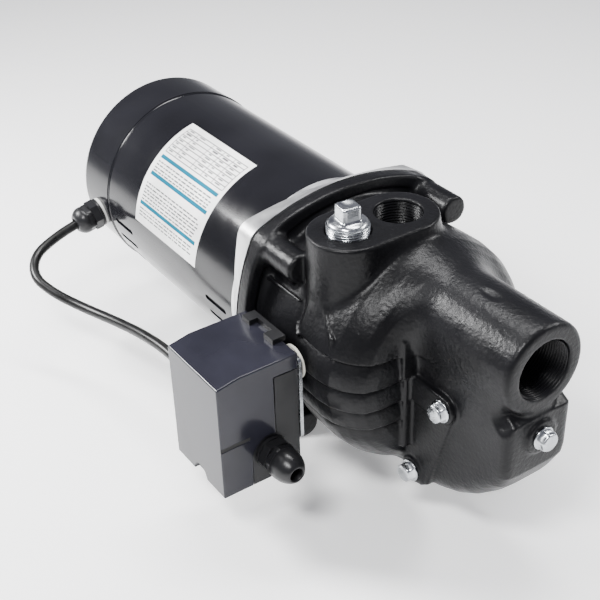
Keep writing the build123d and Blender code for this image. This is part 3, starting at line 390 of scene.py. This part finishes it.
def loft(sections, origin, axis, sides=48, turn=0.0):
    """Skin through (height, half size, shape) sections; shape 2 is round and 9 nearly square,
    and a shape below zero is a hexagon."""
    o, u, v, w = frame_of(origin, axis)
    angles = np.arange(sides) * 2 * math.pi / sides + turn
    points = []
    for height, size, shape in sections:
        if shape < 0:
            sector = (np.arange(sides) * 2 * math.pi / sides) % (math.pi / 3) - math.pi / 6
            radius = np.minimum(size / np.cos(sector), -shape)
        else:
            flat = np.arange(sides) * 2 * math.pi / sides
            radius = size / (np.abs(np.cos(flat)) ** shape + np.abs(np.sin(flat)) ** shape) ** (1 / shape)
        points.append(o + height * w + radius[:, None] * (np.cos(angles)[:, None] * u
                                                            + np.sin(angles)[:, None] * v))
    rings = len(sections)
    faces = [(r * sides + i, r * sides + (i + 1) % sides, (r + 1) * sides + (i + 1) % sides,
              (r + 1) * sides + i) for r in range(rings - 1) for i in range(sides)]
    return np.concatenate(points), faces


def capped(vertices, faces, sides=48):
    """Closes both ends of a loft."""
    last = len(vertices)
    return vertices, faces + [tuple(range(sides))[::-1], tuple(range(last - sides, last))]


def thread(origin, axis, radius, depth, pitch, length, sides=96, steps=8):
    """Helical thread surface: radius grows by depth at each root along the axis."""
    o, u, v, w = frame_of(origin, axis)
    rows = int(length / pitch * steps) + 1
    points = []
    for row in range(rows):
        height = row * pitch / steps
        turn = np.arange(sides) / sides
        phase = (height / pitch - turn) % 1.0
        rise = np.clip(1.6 * np.abs(2 * phase - 1) - 0.3, 0, 1)
        r = radius + depth * rise
        angle = 2 * math.pi * turn
        points.append(o + height * w + r[:, None] * (np.cos(angle)[:, None] * u + np.sin(angle)[:, None] * v))
    faces = [(a * sides + i, a * sides + (i + 1) % sides, (a + 1) * sides + (i + 1) % sides,
              (a + 1) * sides + i) for a in range(rows - 1) for i in range(sides)]
    return np.concatenate(points), faces


def merged(*parts):
    """Several (vertices, faces) pairs as one."""
    vertices, faces, start = [], [], 0
    for points, polygons in parts:
        vertices.append(points)
        faces += [tuple(i + start for i in polygon) for polygon in polygons]
        start += len(points)
    return np.concatenate(vertices), faces


# ------------------------------------------------------------------ eased edges
BODY_OF = {node: name for name, nodes in frame["record"]["behaviour"]["bodies"].items() for node in nodes}
LONG_EDGE = 12.0
FLAT, BENT, CREASE = math.radians(1), math.radians(12), math.radians(32)


def eased_copy(node, width, look):
    """Stands for a CAD node, with its long sharp edges rounded as a moulding's are."""
    source = frame["nodes"][node]
    mesh = bmesh.new()
    mesh.from_mesh(source.data)
    mesh.transform(source.matrix_world)
    bmesh.ops.remove_doubles(mesh, verts=mesh.verts, dist=WELD)
    bmesh.ops.dissolve_limit(mesh, angle_limit=FLAT, verts=mesh.verts, edges=mesh.edges)
    sharp = [edge for edge in mesh.edges if edge.is_manifold and edge.calc_length() > LONG_EDGE * MM
             and edge.calc_face_angle(0) > BENT]
    bmesh.ops.bevel(mesh, geom=sharp, offset=width * MM, offset_type="OFFSET", segments=3, profile=0.5,
                    affect="EDGES", clamp_overlap=False)
    bmesh.ops.dissolve_degenerate(mesh, dist=WELD, edges=mesh.edges)
    data = bpy.data.meshes.new(node + "_eased")
    mesh.to_mesh(data)
    mesh.free()
    data.materials.append(look)
    data.shade_smooth()
    data.set_sharp_from_angle(angle=CREASE)
    made = bpy.data.objects.new(node + "_eased", data)
    bpy.context.scene.collection.objects.link(made)
    facing = made.modifiers.new("flat_faces", "WEIGHTED_NORMAL")
    facing.weight = 100
    facing.keep_sharp = True
    bake_modifiers(made)
    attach(made, BODY_OF[node])
    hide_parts(node)


for node, width, look in (("switch_hood", 1.1, HOOD_PLASTIC), ("switch_base", 0.4, BASE_PLASTIC),
                          ("mounting_foot", 0.8, FOOT_PAINT)):
    eased_copy(node, width, look)


# ------------------------------------------------------------------ wire coil
def coil(start, axis, radius, wire, pitch, height, steps=28, sides=10):
    """Wire wound as a helix along an axis."""
    o, u, v, w = frame_of(start, axis)
    rows = int(height / pitch * steps) + 1
    points = []
    for row in range(rows):
        angle = 2 * math.pi * row / steps
        outward = math.cos(angle) * u + math.sin(angle) * v
        centre = o + radius * outward + height * row / (rows - 1) * w
        around = 2 * math.pi * np.arange(sides) / sides
        points.append(centre + wire * (np.cos(around)[:, None] * outward + np.sin(around)[:, None] * w))
    faces = [(a * sides + i, a * sides + (i + 1) % sides, (a + 1) * sides + (i + 1) % sides,
              (a + 1) * sides + i) for a in range(rows - 1) for i in range(sides)]
    return capped(np.concatenate(points), faces, sides)


# ------------------------------------------------------------------ cable
CABLE_R = 4.3
CABLE_ROUTE = ((-229.0, -85.45, -15.84), (-229.0, -106.2, -19.7), (-228.1, -130.1, -26.4),
               (-221.9, -153.0, -33.5), (-201.3, -164.2, -41.2), (-178.7, -157.2, -48.4),
               (-156.7, -146.4, -53.2), (-133.4, -137.6, -53.9), (-106.0, -130.7, -51.3),
               (-76.0, -126.0, -47.0), (-42.0, -121.8, -45.0), (-5.0, -120.0, -48.0),
               (32.0, -120.0, -48.0))
cable_curve = bpy.data.curves.new("power_cable", "CURVE")
cable_curve.dimensions = "3D"
cable_curve.bevel_depth = CABLE_R * MM
cable_curve.bevel_resolution = 8
cable_curve.resolution_u = 12
cable_curve.use_fill_caps = True
spline = cable_curve.splines.new("NURBS")
spline.points.add(len(CABLE_ROUTE) - 1)
for point, place in zip(spline.points, CABLE_ROUTE):
    point.co = (*at(*place), 1)
spline.order_u = 3
spline.use_endpoint_u = True
cable_curve.materials.append(SHEATH)
cable = bpy.data.objects.new("power_cable", cable_curve)
bpy.context.scene.collection.objects.link(cable)
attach(cable, "pump")
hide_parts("cable")


# ------------------------------------------------------------------ pump casting
# The casting is a distance field sampled on a grid and skinned, so that every junction
# gets the rounded fillets of a sand casting.
CELL = 1.1
FACE_LIMIT = 170000
GRID_LO = np.array((28.0, -100.5, -103.0))
GRID_HI = np.array((251.5, 100.5, 104.0))
counts = np.ceil((GRID_HI - GRID_LO) / CELL).astype(int) + 1
gx, gy, gz = (np.float32(GRID_LO[i]) + np.float32(CELL) * np.arange(counts[i], dtype=np.float32)
              for i in range(3))
X = gx[:, None, None]
Y = gy[None, :, None]
Z = gz[None, None, :]


def join(a, b, k):
    """Union with a fillet about k wide."""
    h = np.maximum(k - np.abs(a - b), 0) / k
    return np.minimum(a, b) - h * h * k * np.float32(0.25)


def cut(a, b, k):
    """Subtraction of b from a with an eased edge."""
    return -join(-a, b, k)


def both(a, b, k):
    """Intersection with a rounded edge."""
    return -join(-a, -b, k)


def outline(points, u, v):
    """Signed distance to a closed polygon, negative inside, on any arrays u and v."""
    u, v = np.broadcast_arrays(u, v)
    best = np.full(u.shape, 1e9, np.float32)
    inside = np.zeros(u.shape, bool)
    for (x0, y0), (x1, y1) in zip(points, points[1:] + points[:1]):
        dx, dy = x1 - x0, y1 - y0
        t = np.clip(((u - x0) * dx + (v - y0) * dy) / (dx * dx + dy * dy), 0, 1)
        best = np.minimum(best, (u - x0 - t * dx) ** 2 + (v - y0 - t * dy) ** 2)
        crossing = (y0 > v) != (y1 > v)
        if abs(dy) > 1e-9:
            inside ^= crossing & (u < dx * (v - y0) / dy + x0)
    return np.where(inside, -1, 1) * np.sqrt(best)


def turned(points):
    """Distance to a solid of revolution about the shaft axis, from its (x, radius) outline."""
    radius = np.arange(0, 150, 0.5, dtype=np.float32)
    table = outline(points, gx[:, None], radius[None, :]).astype(np.float32)
    r = np.sqrt(Y * Y + Z * Z)[0]
    at_r = np.clip(r / 0.5, 0, len(radius) - 2)
    low = at_r.astype(int)
    part = (at_r - low).astype(np.float32)
    return table[:, low] * (1 - part) + table[:, low + 1] * part


def rod(axis, centre, radius, low, high, edge=0.0):
    """Cylinder along an axis between two stations, its ends rounded by edge."""
    grids = [X, Y, Z]
    along = grids.pop(axis)
    side = np.sqrt((grids[0] - centre[0]) ** 2 + (grids[1] - centre[1]) ** 2) - radius
    ends = np.maximum(low - along, along - high)
    if edge:
        return both(side, ends, edge)
    return np.maximum(side, ends)


def lozenge(x, y, z, size, edge):
    """Box with rounded edges."""
    q = [np.abs(grid - centre) - width / 2 + edge
         for grid, centre, width in zip((X, Y, Z), (x, y, z), size)]
    outside = np.sqrt(sum(np.maximum(a, 0) ** 2 for a in q))
    return outside + np.minimum(np.maximum(np.maximum(q[0], q[1]), q[2]), 0) - edge


def strut(start, end, radius):
    """Round-ended rib between two points."""
    a, b = np.array(start, np.float32), np.array(end, np.float32)
    d = b - a
    t = np.clip(((X - a[0]) * d[0] + (Y - a[1]) * d[1] + (Z - a[2]) * d[2]) / float(d @ d), 0, 1)
    return np.sqrt((X - a[0] - t * d[0]) ** 2 + (Y - a[1] - t * d[1]) ** 2
                   + (Z - a[2] - t * d[2]) ** 2) - radius


def bowed_square(axis_r, corner):
    """Lobed flange outline in the YZ plane: four shallow arcs meeting at rounded corners."""
    sagitta = axis_r - corner
    radius = (corner ** 2 + sagitta ** 2) / (2 * sagitta)
    centre = axis_r - radius
    side_y = np.sqrt((np.abs(Y) - centre) ** 2 + Z * Z) - radius
    side_z = np.sqrt(Y * Y + (np.abs(Z) - centre) ** 2) - radius
    return both(side_y, side_z, 16.0)


BOSS_TOP = float(box_mm("pump_casing")[1][2])
SUCTION_FACE = 245.2
PORT_X, PRIMING_Y = 96.5, -43.5
BOSS_R = 29.0
SUCTION_Z, SUCTION_TUBE_R, SUCTION_R = 51.6, 33.5, 20.7
DISCHARGE_R, PRIMING_R = 16.2, 15.3
THREAD = 1.1
FLANGE_MIDDLE, FLANGE_HALF = 36, 6
FLANGE_R, FLANGE_CORNER = 97.5, 79.0
TROUGH_R, TROUGH_CORNER, TROUGH_FLOOR = 88.5, 71.0, 40.2
BOLT_BOSS_YZ, BOLT_BOSS_R, BOLT_BOSS_END = 69.3, 11.0, 78
BOSS_WEB_YZ = 60
NOSE_HALF = 29.5
PAD_Y, WEB_Y, LOW_PLUG_Y = -32.6, -35.0, -35
LOW_PLUG_XZ = (160, -73)
DRUM = [(30, 0), (30, 85), (42, 85.2), (60, 84.8), (79, 84.0), (84, 82.9), (90, 87.0), (104, 87.6),
        (118, 87.8), (130, 86.0), (139, 82.0), (146, 77.0), (151, 71.0), (153.5, 62), (154.5, 50),
        (154.5, 0)]
CAVITY = [(20, 0), (20, 78.1), (37, 78.1), (44, 79), (118, 79), (132, 76), (140, 71), (146, 63),
          (148, 50), (148, 0)]
NOSE = [(112, 20), (112, -80), (126, -85.5), (145, -88), (160, -88), (180, -84.5), (200, -76),
        (215, -66), (230, -52), (240, -40), (246, -27), (246, 15.5), (236, 21), (236, 60),
        (112, 60)]
PAD = [(148, 8), (189, 8), (197, 0), (196, -8), (176, -78), (168, -84), (148, -84)]
RIBS = (((101, -68, 56), (124, -78.0, 40)), ((124, -78.0, 40), (128, -80, 27)),
        ((43, -74, 47), (81, -74, 47)), ((84, -79, 30), (90, -83, 27)))
RIB_R = 1.3
TERRACES = (27.0, 6.0, -11.0, -28.0, -46.0)
TERRACE_DEPTH = 2.9

iron = both(bowed_square(FLANGE_R, FLANGE_CORNER), np.abs(X - FLANGE_MIDDLE) - FLANGE_HALF, 2.5)
iron = cut(iron, np.maximum(bowed_square(TROUGH_R, TROUGH_CORNER), TROUGH_FLOOR - X), 1.6)
drum = turned(DRUM)
# shingled terraces round the switch side, each one proud along its lower edge
inset = np.zeros_like(Z)
for top, bottom in zip(TERRACES, TERRACES[1:]):
    share = (Z - bottom) / (top - bottom)
    inset = np.where((share > 0) & (share <= 1), TERRACE_DEPTH * share ** 3, inset)
reach = np.clip((X - 88) / 4, 0, 1) * np.clip((-Y - 12) / 8, 0, 1)
drum = drum + (inset * reach).astype(np.float32)
iron = join(iron, drum, 6.0)
for start, end in RIBS:
    iron = join(iron, strut(start, end, RIB_R), 2.5)
for sy in (-1, 1):
    for sz in (-1, 1):
        boss = rod(0, (sy * BOLT_BOSS_YZ, sz * BOLT_BOSS_YZ), BOLT_BOSS_R, 30, BOLT_BOSS_END, 3.0)
        web = lozenge(50, sy * BOSS_WEB_YZ, sz * BOSS_WEB_YZ, (36, 22, 16), 3)
        iron = join(iron, join(boss, web, 5.0), 6.0)
# oblong boss of the two top ports
slot_y = np.clip(Y, PRIMING_Y, 0)
oblong = both(np.sqrt((X - PORT_X) ** 2 + (Y - slot_y) ** 2) - BOSS_R,
              np.maximum(Z - BOSS_TOP, 12 - Z), 2.2)
iron = join(iron, oblong, 5.0)
# suction tube and nose
tube = rod(0, (0, SUCTION_Z), SUCTION_TUBE_R, 110, SUCTION_FACE, 5.0)
nose_side = outline(NOSE, X, Z).astype(np.float32)
nose = both(nose_side, np.abs(Y) - NOSE_HALF, 9.0)
belly = both(nose_side, np.abs(Y) - NOSE_HALF, 20.0)
low = np.clip((-Z - 20) / 30, 0, 1)
nose = nose * (1 - low) + belly * low
iron = join(iron, tube, 22.0)
iron = join(iron, nose, 7.0)
# flat strip beside the nose, wider above than below
iron = join(iron, lozenge(153, -36, 25, (10, 13, 32), 1), 1.5)
iron = join(iron, lozenge(152.2, -36, -20, (9, 8, 66), 1), 1.5)
# raised side pad with the web of the gauge plug, and the boss of the nose plug
pad = outline(PAD, X, Z).astype(np.float32)
iron = join(iron, both(pad, np.maximum(PAD_Y - Y, Y), 1.6), 2.0)
web_x = np.clip(X, 150, 189)
web = both(np.sqrt((X - web_x) ** 2 + Z * Z) - 10.5, np.maximum(WEB_Y - Y, Y), 1.8)
iron = join(iron, web, 2.0)
iron = join(iron, rod(1, LOW_PLUG_XZ, 10.0, WEB_Y, 0, 1.8), 3.0)
iron = join(iron, rod(0, (0, 0), 13.0, 232, 249, 1.6), 3.0)
# pocket beside the ledge and a small dent left on top of the tube
iron = cut(iron, np.sqrt((X - 242) ** 2 + (Y + 33) ** 2 + (Z - 19) ** 2) - 9.5, 3.0)
dent = np.sqrt(((X - 196) / 2.2) ** 2 + (Y + 4) ** 2 + (Z - SUCTION_Z - SUCTION_TUBE_R - 2.2) ** 2) - 4.0
iron = cut(iron, dent, 2.0)
# pump cavity, ports, plug holes and jet chambers
bores = [rod(2, (PORT_X, 0), DISCHARGE_R + THREAD, BOSS_TOP - 21, 120),
         rod(2, (PORT_X, 0), 14.0, 40, 120),
         rod(2, (PORT_X, PRIMING_Y), PRIMING_R + 0.6, 45, 120),
         rod(0, (0, SUCTION_Z), SUCTION_R + THREAD, SUCTION_FACE - 30, 260),
         rod(0, (0, SUCTION_Z), 17.0, 183, 260),
         rod(2, (187, 0), 16.5, 0, SUCTION_Z),
         rod(0, (0, 0), 18.0, 158, 206),
         rod(0, (0, 0), 10.0, 200, 220),
         rod(0, (0, 0), 14.0, 216, 238),
         rod(0, (0, 0), 13.2, 140, 160),
         rod(1, LOW_PLUG_XZ, 6.9, -60, -23.5)]
iron = cut(iron, turned(CAVITY), 1.0)
for bore in bores:
    iron = cut(iron, bore, 1.4)
# the casting ends at the first layer of the grid, so its back face closes
iron[0] = np.maximum(iron[0], 0.01)


def skin(field):
    """Surface nets: one vertex in every cell that the zero level passes through."""
    inside = field < 0
    shape = np.array(field.shape) - 1
    corner = [(i, j, k) for i in (0, 1) for j in (0, 1) for k in (0, 1)]
    count = np.zeros(shape, np.int8)
    for i, j, k in corner:
        count += inside[i:i + shape[0], j:j + shape[1], k:k + shape[2]]
    cells = np.argwhere((count > 0) & (count < 8))
    index = np.full(shape, -1, np.int64)
    index[tuple(cells.T)] = np.arange(len(cells))
    total = np.zeros((len(cells), 3))
    weight = np.zeros(len(cells))
    values = {c: field[cells[:, 0] + c[0], cells[:, 1] + c[1], cells[:, 2] + c[2]] for c in corner}
    for a in corner:
        for axis in range(3):
            if a[axis]:
                continue
            b = tuple(1 if n == axis else a[n] for n in range(3))
            va, vb = values[a], values[b]
            hit = (va < 0) != (vb < 0)
            t = np.where(hit, va / np.where(hit, va - vb, 1), 0)
            point = np.tile(np.array(a, float), (len(cells), 1))
            point[:, axis] += t
            total[hit] += point[hit]
            weight[hit] += 1
    vertices = (cells + total / weight[:, None]) * CELL + GRID_LO
    faces = []
    for axis in range(3):
        u, v = [n for n in range(3) if n != axis]
        first = [slice(1, -1)] * 3
        second = [slice(1, -1)] * 3
        first[axis] = slice(0, -1)
        second[axis] = slice(1, None)
        a, b = inside[tuple(first)], inside[tuple(second)]
        edges = np.argwhere(a != b)
        flip = b[tuple(edges.T)]
        edges[:, u] += 1
        edges[:, v] += 1
        ring = []
        for du, dv in ((0, 0), (-1, 0), (-1, -1), (0, -1)):
            cell = edges.copy()
            cell[:, u] += du
            cell[:, v] += dv
            ring.append(index[tuple(cell.T)])
        quad = np.stack(ring, 1)
        if axis == 1:
            flip = ~flip
        quad[flip] = quad[flip][:, ::-1]
        faces.append(quad)
    return vertices, np.concatenate(faces)


vertices, faces = skin(iron.astype(np.float32))
casting = new_object("pump_casting", vertices, faces.tolist(), CAST)
triangles = 2 * len(faces)
if triangles > FACE_LIMIT:
    thin = casting.modifiers.new("thin", "DECIMATE")
    thin.ratio = FACE_LIMIT / triangles
    bake_modifiers(casting)
drop_scraps(casting.data)
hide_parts("pump_casing")


# ------------------------------------------------------------------ threads and plugs
# tapped threads inside the two ports
PORT_PITCH = 2.2
mouths = merged(thread((PORT_X, 0, BOSS_TOP - 20.5), (0, 0, 1), DISCHARGE_R, THREAD, PORT_PITCH, 19.5),
                thread((SUCTION_FACE - 29.5, 0, SUCTION_Z), (1, 0, 0), SUCTION_R, THREAD, PORT_PITCH,
                       28.0))
port_threads = new_object("port_threads", *mouths, CAST_SMOOTH)

# priming plug: thread, coned shoulder and tapered square head
PRIMING_PLUG = [(-15, 13.6, 2), (-14, 14.2, 2), (5.6, 14.2, 2), (6.4, 14.0, 2), (7.6, 12.6, 2),
                (8.2, 10.4, 3), (8.9, 7.7, 7), (10.0, 7.2, 9), (17.4, 7.1, 9), (18.6, 6.9, 8),
                (19.3, 6.2, 6), (19.3, 5.2, 4), (18.7, 4.4, 3)]
HEAD_TURN = 0.65
plug = merged(
    capped(*loft(PRIMING_PLUG, (PORT_X, PRIMING_Y, BOSS_TOP), (0, 0, 1), turn=HEAD_TURN)),
    thread((PORT_X, PRIMING_Y, BOSS_TOP - 15), (0, 0, 1), PRIMING_R - 1.2, 1.15, 1.9, 20.6))
priming = new_object("priming_plug_threaded", *plug, ZINC, "priming")
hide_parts("priming_plug")


HEX_PLUG = [(-8.8, 6.2, 2), (0, 6.2, 2), (0, 8.2, 2), (0.5, 8.5, 2), (1.2, 8.5, 2), (1.5, 8.0, 2),
            (1.5, 6.4, -7.35), (6.2, 6.4, -7.35), (7.2, 6.4, -6.5), (7.6, 6.4, -5.4)]
SIDE_PLUG_PLACE, NOSE_PLUG_PLACE = (189, -35, 0), (249, 0, 0)
LOW_PLUG_PLACE = (LOW_PLUG_XZ[0], LOW_PLUG_Y, LOW_PLUG_XZ[1])


def hex_plug(place, axis):
    """Hexagon head on a washer face, with the stub of its thread."""
    return capped(*loft(HEX_PLUG, place, axis))


side_plugs = new_object("hex_plugs", *merged(hex_plug(SIDE_PLUG_PLACE, (0, -1, 0)),
                                             hex_plug(NOSE_PLUG_PLACE, (1, 0, 0))), ZINC)
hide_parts("port_plugs")
low_plug = new_object("low_hex_plug", *hex_plug(LOW_PLUG_PLACE, (0, -1, 0)), ZINC, "drain")
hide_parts("drain_plug")

# ------------------------------------------------------------------ rating label
LABEL_X, LABEL_A, LABEL_R = (-156.0, -56.0), (103.5, 173.4), SHELL_R + 0.22
COLUMNS, ROWS = 240, 240
ink = np.zeros((ROWS, COLUMNS), int)
# each cell of the grid holds the index of its look; 0 is the bare label
GREY_INK, CYAN = 1, 2


def stroke(x0, x1, y0, y1, kind):
    """Fills a rectangle of the label given in shares of its width and height."""
    ink[int(y0 * ROWS):max(int(y1 * ROWS), int(y0 * ROWS) + 1),
        int(x0 * COLUMNS):max(int(x1 * COLUMNS), int(x0 * COLUMNS) + 1)] = kind


TABLE_TOP, TABLE_END = 0.055, 0.336
TABLE_LINES, LINE, STRIPE = 8, 0.0085, 0.034
MARGIN_LOW, MARGIN_HIGH = 0.05, 0.95
TEXT_STEP, TEXT_TALL, TEXT_GAP = 0.028, 0.0126, 0.012
STRIPES = (0.372, 0.536, 0.801)
generator = np.random.default_rng(7)
for line in np.linspace(TABLE_TOP, TABLE_END, TABLE_LINES):
    stroke(MARGIN_LOW, MARGIN_HIGH, line, line + LINE, GREY_INK)
for line in (MARGIN_LOW, 0.2, 0.45, 0.62, 0.78, MARGIN_HIGH):
    stroke(line, line + LINE, TABLE_TOP, TABLE_END, GREY_INK)
for row in np.linspace(TABLE_TOP, TABLE_END, TABLE_LINES)[:-1]:
    for column in (0.08, 0.24, 0.5, 0.66, 0.82):
        stroke(column, column + generator.uniform(0.03, 0.09), row + 0.0125, row + 0.026, GREY_INK)
for stripe in STRIPES:
    stroke(MARGIN_LOW, MARGIN_HIGH, stripe, stripe + STRIPE, CYAN)
for low, high in ((STRIPES[0] + 0.06, STRIPES[1] - 0.02), (STRIPES[1] + 0.1, STRIPES[2] - 0.02),
                  (STRIPES[2] + 0.06, 0.93)):
    for row in np.arange(low, high, TEXT_STEP):
        place = 0.06
        while place < 0.9:
            word = generator.uniform(0.02, 0.07)
            stroke(place, min(place + word, 0.93), row, row + TEXT_TALL, GREY_INK)
            place += word + TEXT_GAP
label_x = np.linspace(*LABEL_X, COLUMNS + 1)
label_a = np.radians(np.linspace(*LABEL_A, ROWS + 1))
grid_a, grid_x = np.meshgrid(label_a, label_x, indexing="ij")
label_points = np.stack([grid_x, LABEL_R * np.cos(grid_a), LABEL_R * np.sin(grid_a)], -1).reshape(-1, 3)
corners = np.arange(ROWS * (COLUMNS + 1)).reshape(ROWS, COLUMNS + 1)[:, :-1]
next_row = corners + COLUMNS + 1
label_faces = np.stack([corners, corners + 1, next_row + 1, next_row], -1).reshape(-1, 4)[:, ::-1]
label = new_object("rating_label_printed", label_points, label_faces.tolist(), LABEL_LOOKS[0])
for look in LABEL_LOOKS[1:]:
    label.data.materials.append(look)
label.data.polygons.foreach_set("material_index", ink.reshape(-1))
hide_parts("rating_label")

# ------------------------------------------------------------------ gland domes
MOTOR_GLAND_R, MOTOR_GLAND_ANGLE = 84.9, math.radians(190.5)
MOTOR_NUT_START, MOTOR_NUT_LENGTH = 9.5, 15.4
DOME_R, DOME_START, DOME_DRAW = 12.4, 5.9, 0.52
GLAND_NUT = [(5.2, 5.3, 2), (0.2, 9.2, 2), (0.0, 11.0, -12.9), (0.6, 11.3, -12.9), (4.6, 11.3, -12.9),
             (5.0, 11.3, -12.3), (5.4, 12.2, 2), (DOME_START, DOME_R, 2)]


def gland_rings(length):
    """Sections of a gland nut: hexagon, dome drawn in along a curve, and the lip of its mouth."""
    dome = [(DOME_START + (length - 5.0) * share, DOME_R * (1 - DOME_DRAW * share ** 2.6), 2)
            for share in (0.2, 0.4, 0.55, 0.7, 0.82, 0.9)]
    lip = [(length - 0.3, 6.6, 2), (length, 6.2, 2), (length, 5.6, 2), (length - 0.7, 5.2, 2),
           (5.2, 5.15, 2)]
    return GLAND_NUT + dome + lip


outward = (0, math.cos(MOTOR_GLAND_ANGLE), math.sin(MOTOR_GLAND_ANGLE))
nut_r = MOTOR_GLAND_R + MOTOR_NUT_START
glands = {}
for gland, direction in (("switch_front_gland_nut", 1), ("switch_rear_gland_nut", -1)):
    low_corner, high_corner = box_mm(gland)
    middle = (low_corner + high_corner) / 2
    start = low_corner[0] if direction > 0 else high_corner[0]
    glands[gland] = ((start, middle[1], middle[2]), (direction, 0, 0), high_corner[0] - low_corner[0])
glands["motor_gland_nut"] = ((CABLE_ROUTE[0][0], nut_r * outward[1], nut_r * outward[2]), outward,
                             MOTOR_NUT_LENGTH)
for gland, (base, axis, length) in glands.items():
    dome = new_object(gland + "_domed", *loft(gland_rings(length), base, axis), GLAND_PLASTIC)
    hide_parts(gland)

# ------------------------------------------------------------------ range spring coil
spring_lo, spring_hi = box_mm("range_spring")
WIRE_R = 0.9
SPRING_PITCH = 3.2
spring_r = (spring_hi[0] - spring_lo[0]) / 2 - WIRE_R
spring_length = spring_hi[1] - spring_lo[1] - 2 * WIRE_R
spring_x, spring_z = (spring_lo[0] + spring_hi[0]) / 2, (spring_lo[2] + spring_hi[2]) / 2
spring_start = (spring_x, spring_hi[1] - WIRE_R, spring_z)
spring_coil = coil(spring_start, (0, -1, 0), spring_r, WIRE_R, SPRING_PITCH, spring_length)
spring = new_object("range_spring_coil", *spring_coil, SHAFT)
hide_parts("range_spring")
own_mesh(spring)

# ------------------------------------------------------------------ rolled seam and hood details
shell_end = box_mm("motor_shell")[0][0]
SEAM_PROFILE = ((-0.6, -0.9), (-0.3, 0.3), (0.6, 0.55), (1.8, 0.55), (2.6, -0.4))
seam = new_object("shell_rolled_lip", *loft([(along, SHELL_R + rise, 2) for along, rise in SEAM_PROFILE],
                                            (shell_end, 0, 0), (1, 0, 0), sides=160), ENAMEL)

hood_side = box_mm("switch_hood")[1][0]
SLIT_Z, SLIT_Y, SLIT = -28.4, (-161.0, -137.0), 1.5
SLIT_DEPTH, SHADE_STRIP_PROUD, LIP_PROUD, LIP_TALL = 0.5, 0.1, 0.45, 0.8


def slab(low_corner, high_corner, edge):
    """Box between two corners with its long edges eased, along Y."""
    (x0, y0, z0), (x1, y1, z1) = low_corner, high_corner
    ring = [(x0, z0 + edge), (x0 + edge, z0), (x1 - edge, z0), (x1, z0 + edge),
            (x1, z1 - edge), (x1 - edge, z1), (x0 + edge, z1), (x0, z1 - edge)]
    points = [(x, y, z) for y in (y0, y1) for x, z in ring]
    sides = [(i, (i + 1) % 8, (i + 1) % 8 + 8, i + 8) for i in range(8)]
    return np.array(points, float), sides + [tuple(range(8))[::-1], tuple(range(8, 16))]


# painted shade of the slit in the side of the hood beside the gland tab: a matte black strip laid on the hood
# rather than a cut groove, with its moulded lip
slit_shade_box = slab((hood_side - SLIT_DEPTH, SLIT_Y[0], SLIT_Z - SLIT),
               (hood_side + SHADE_STRIP_PROUD, SLIT_Y[1], SLIT_Z + SLIT), 0.1)
# black rubber strip standing in for the slit's shade
slit_shade_strip = new_object("hood_slit_painted_shade", *slit_shade_box, SEAL, "hood", smooth=False)
lip_box = slab((hood_side - SLIT_DEPTH, SLIT_Y[0], SLIT_Z - SLIT - LIP_TALL),
               (hood_side + LIP_PROUD, SLIT_Y[1], SLIT_Z - SLIT), 0.3)
gap_lip = new_object("hood_gap_lip", *lip_box, HOOD_PLASTIC, "hood", smooth=False)

# ------------------------------------------------------------------ stage and light
FLOOR_HALF, FLOOR_DROP = 20.0, 0.0002
HORIZON, OVERHEAD = (0.42, 0.43, 0.47, 1), (0.2, 0.2, 0.25, 1)
SKY_STRENGTH = 0.8
floor_mesh = bpy.data.meshes.new("floor")
half = FLOOR_HALF
floor_z = cad_lo.z - FLOOR_DROP
floor_mesh.from_pydata([(-half, -half, floor_z), (half, -half, floor_z), (half, half, floor_z),
                        (-half, half, floor_z)], [], [(0, 1, 2, 3)])
floor = bpy.data.objects.new("floor", floor_mesh)
bpy.context.scene.collection.objects.link(floor)
floor_look = Look("pale_floor", (0.95, 0.95, 0.95), 0.7, Emission_Color=(1, 1, 1, 1),
                  Emission_Strength=0.3)
floor_mesh.materials.append(floor_look.material)

world = bpy.data.worlds.new("studio")
bpy.context.scene.world = world
world.use_nodes = True
sky = world.node_tree
sky_coords = sky.nodes.new("ShaderNodeTexCoord")
split = sky.nodes.new("ShaderNodeSeparateXYZ")
ramp = sky.nodes.new("ShaderNodeValToRGB")
ramp.color_ramp.elements[0].position = 0.0
ramp.color_ramp.elements[0].color = HORIZON
ramp.color_ramp.elements[1].position = 0.6
ramp.color_ramp.elements[1].color = OVERHEAD
sky.links.new(sky_coords.outputs["Generated"], split.inputs["Vector"])
sky.links.new(split.outputs["Z"], ramp.inputs["Fac"])
sky.links.new(ramp.outputs["Color"], sky.nodes["Background"].inputs["Color"])
sky.nodes["Background"].inputs["Strength"].default_value = SKY_STRENGTH


def area_light(name, place, target, size, power):
    """Rectangular soft box aimed at a point; both places in millimetres round the shaft axis."""
    data = bpy.data.lights.new(name, "AREA")
    data.shape = "RECTANGLE"
    data.size, data.size_y = size
    data.energy = power
    made = bpy.data.objects.new(name, data)
    bpy.context.scene.collection.objects.link(made)
    made.location = at(*place)
    aim = (at(*target) - made.location).normalized()
    made.rotation_mode = "QUATERNION"
    made.rotation_quaternion = aim.to_track_quat("-Z", "Y")


# name, place, target, size in metres, watts
LIGHTS = (("key_light", (-620, -640, 600), (60, -20, 50), (0.34, 0.26), 30),
          ("front_light", (420, -560, 820), (110, 0, 20), (0.3, 0.14), 14),
          ("top_light", (-200, 160, 1100), (-60, 0, 0), (0.8, 0.16), 18),
          ("side_light", (500, 900, 700), (80, 0, 20), (0.5, 0.16), 12))
for light in LIGHTS:
    area_light(*light)
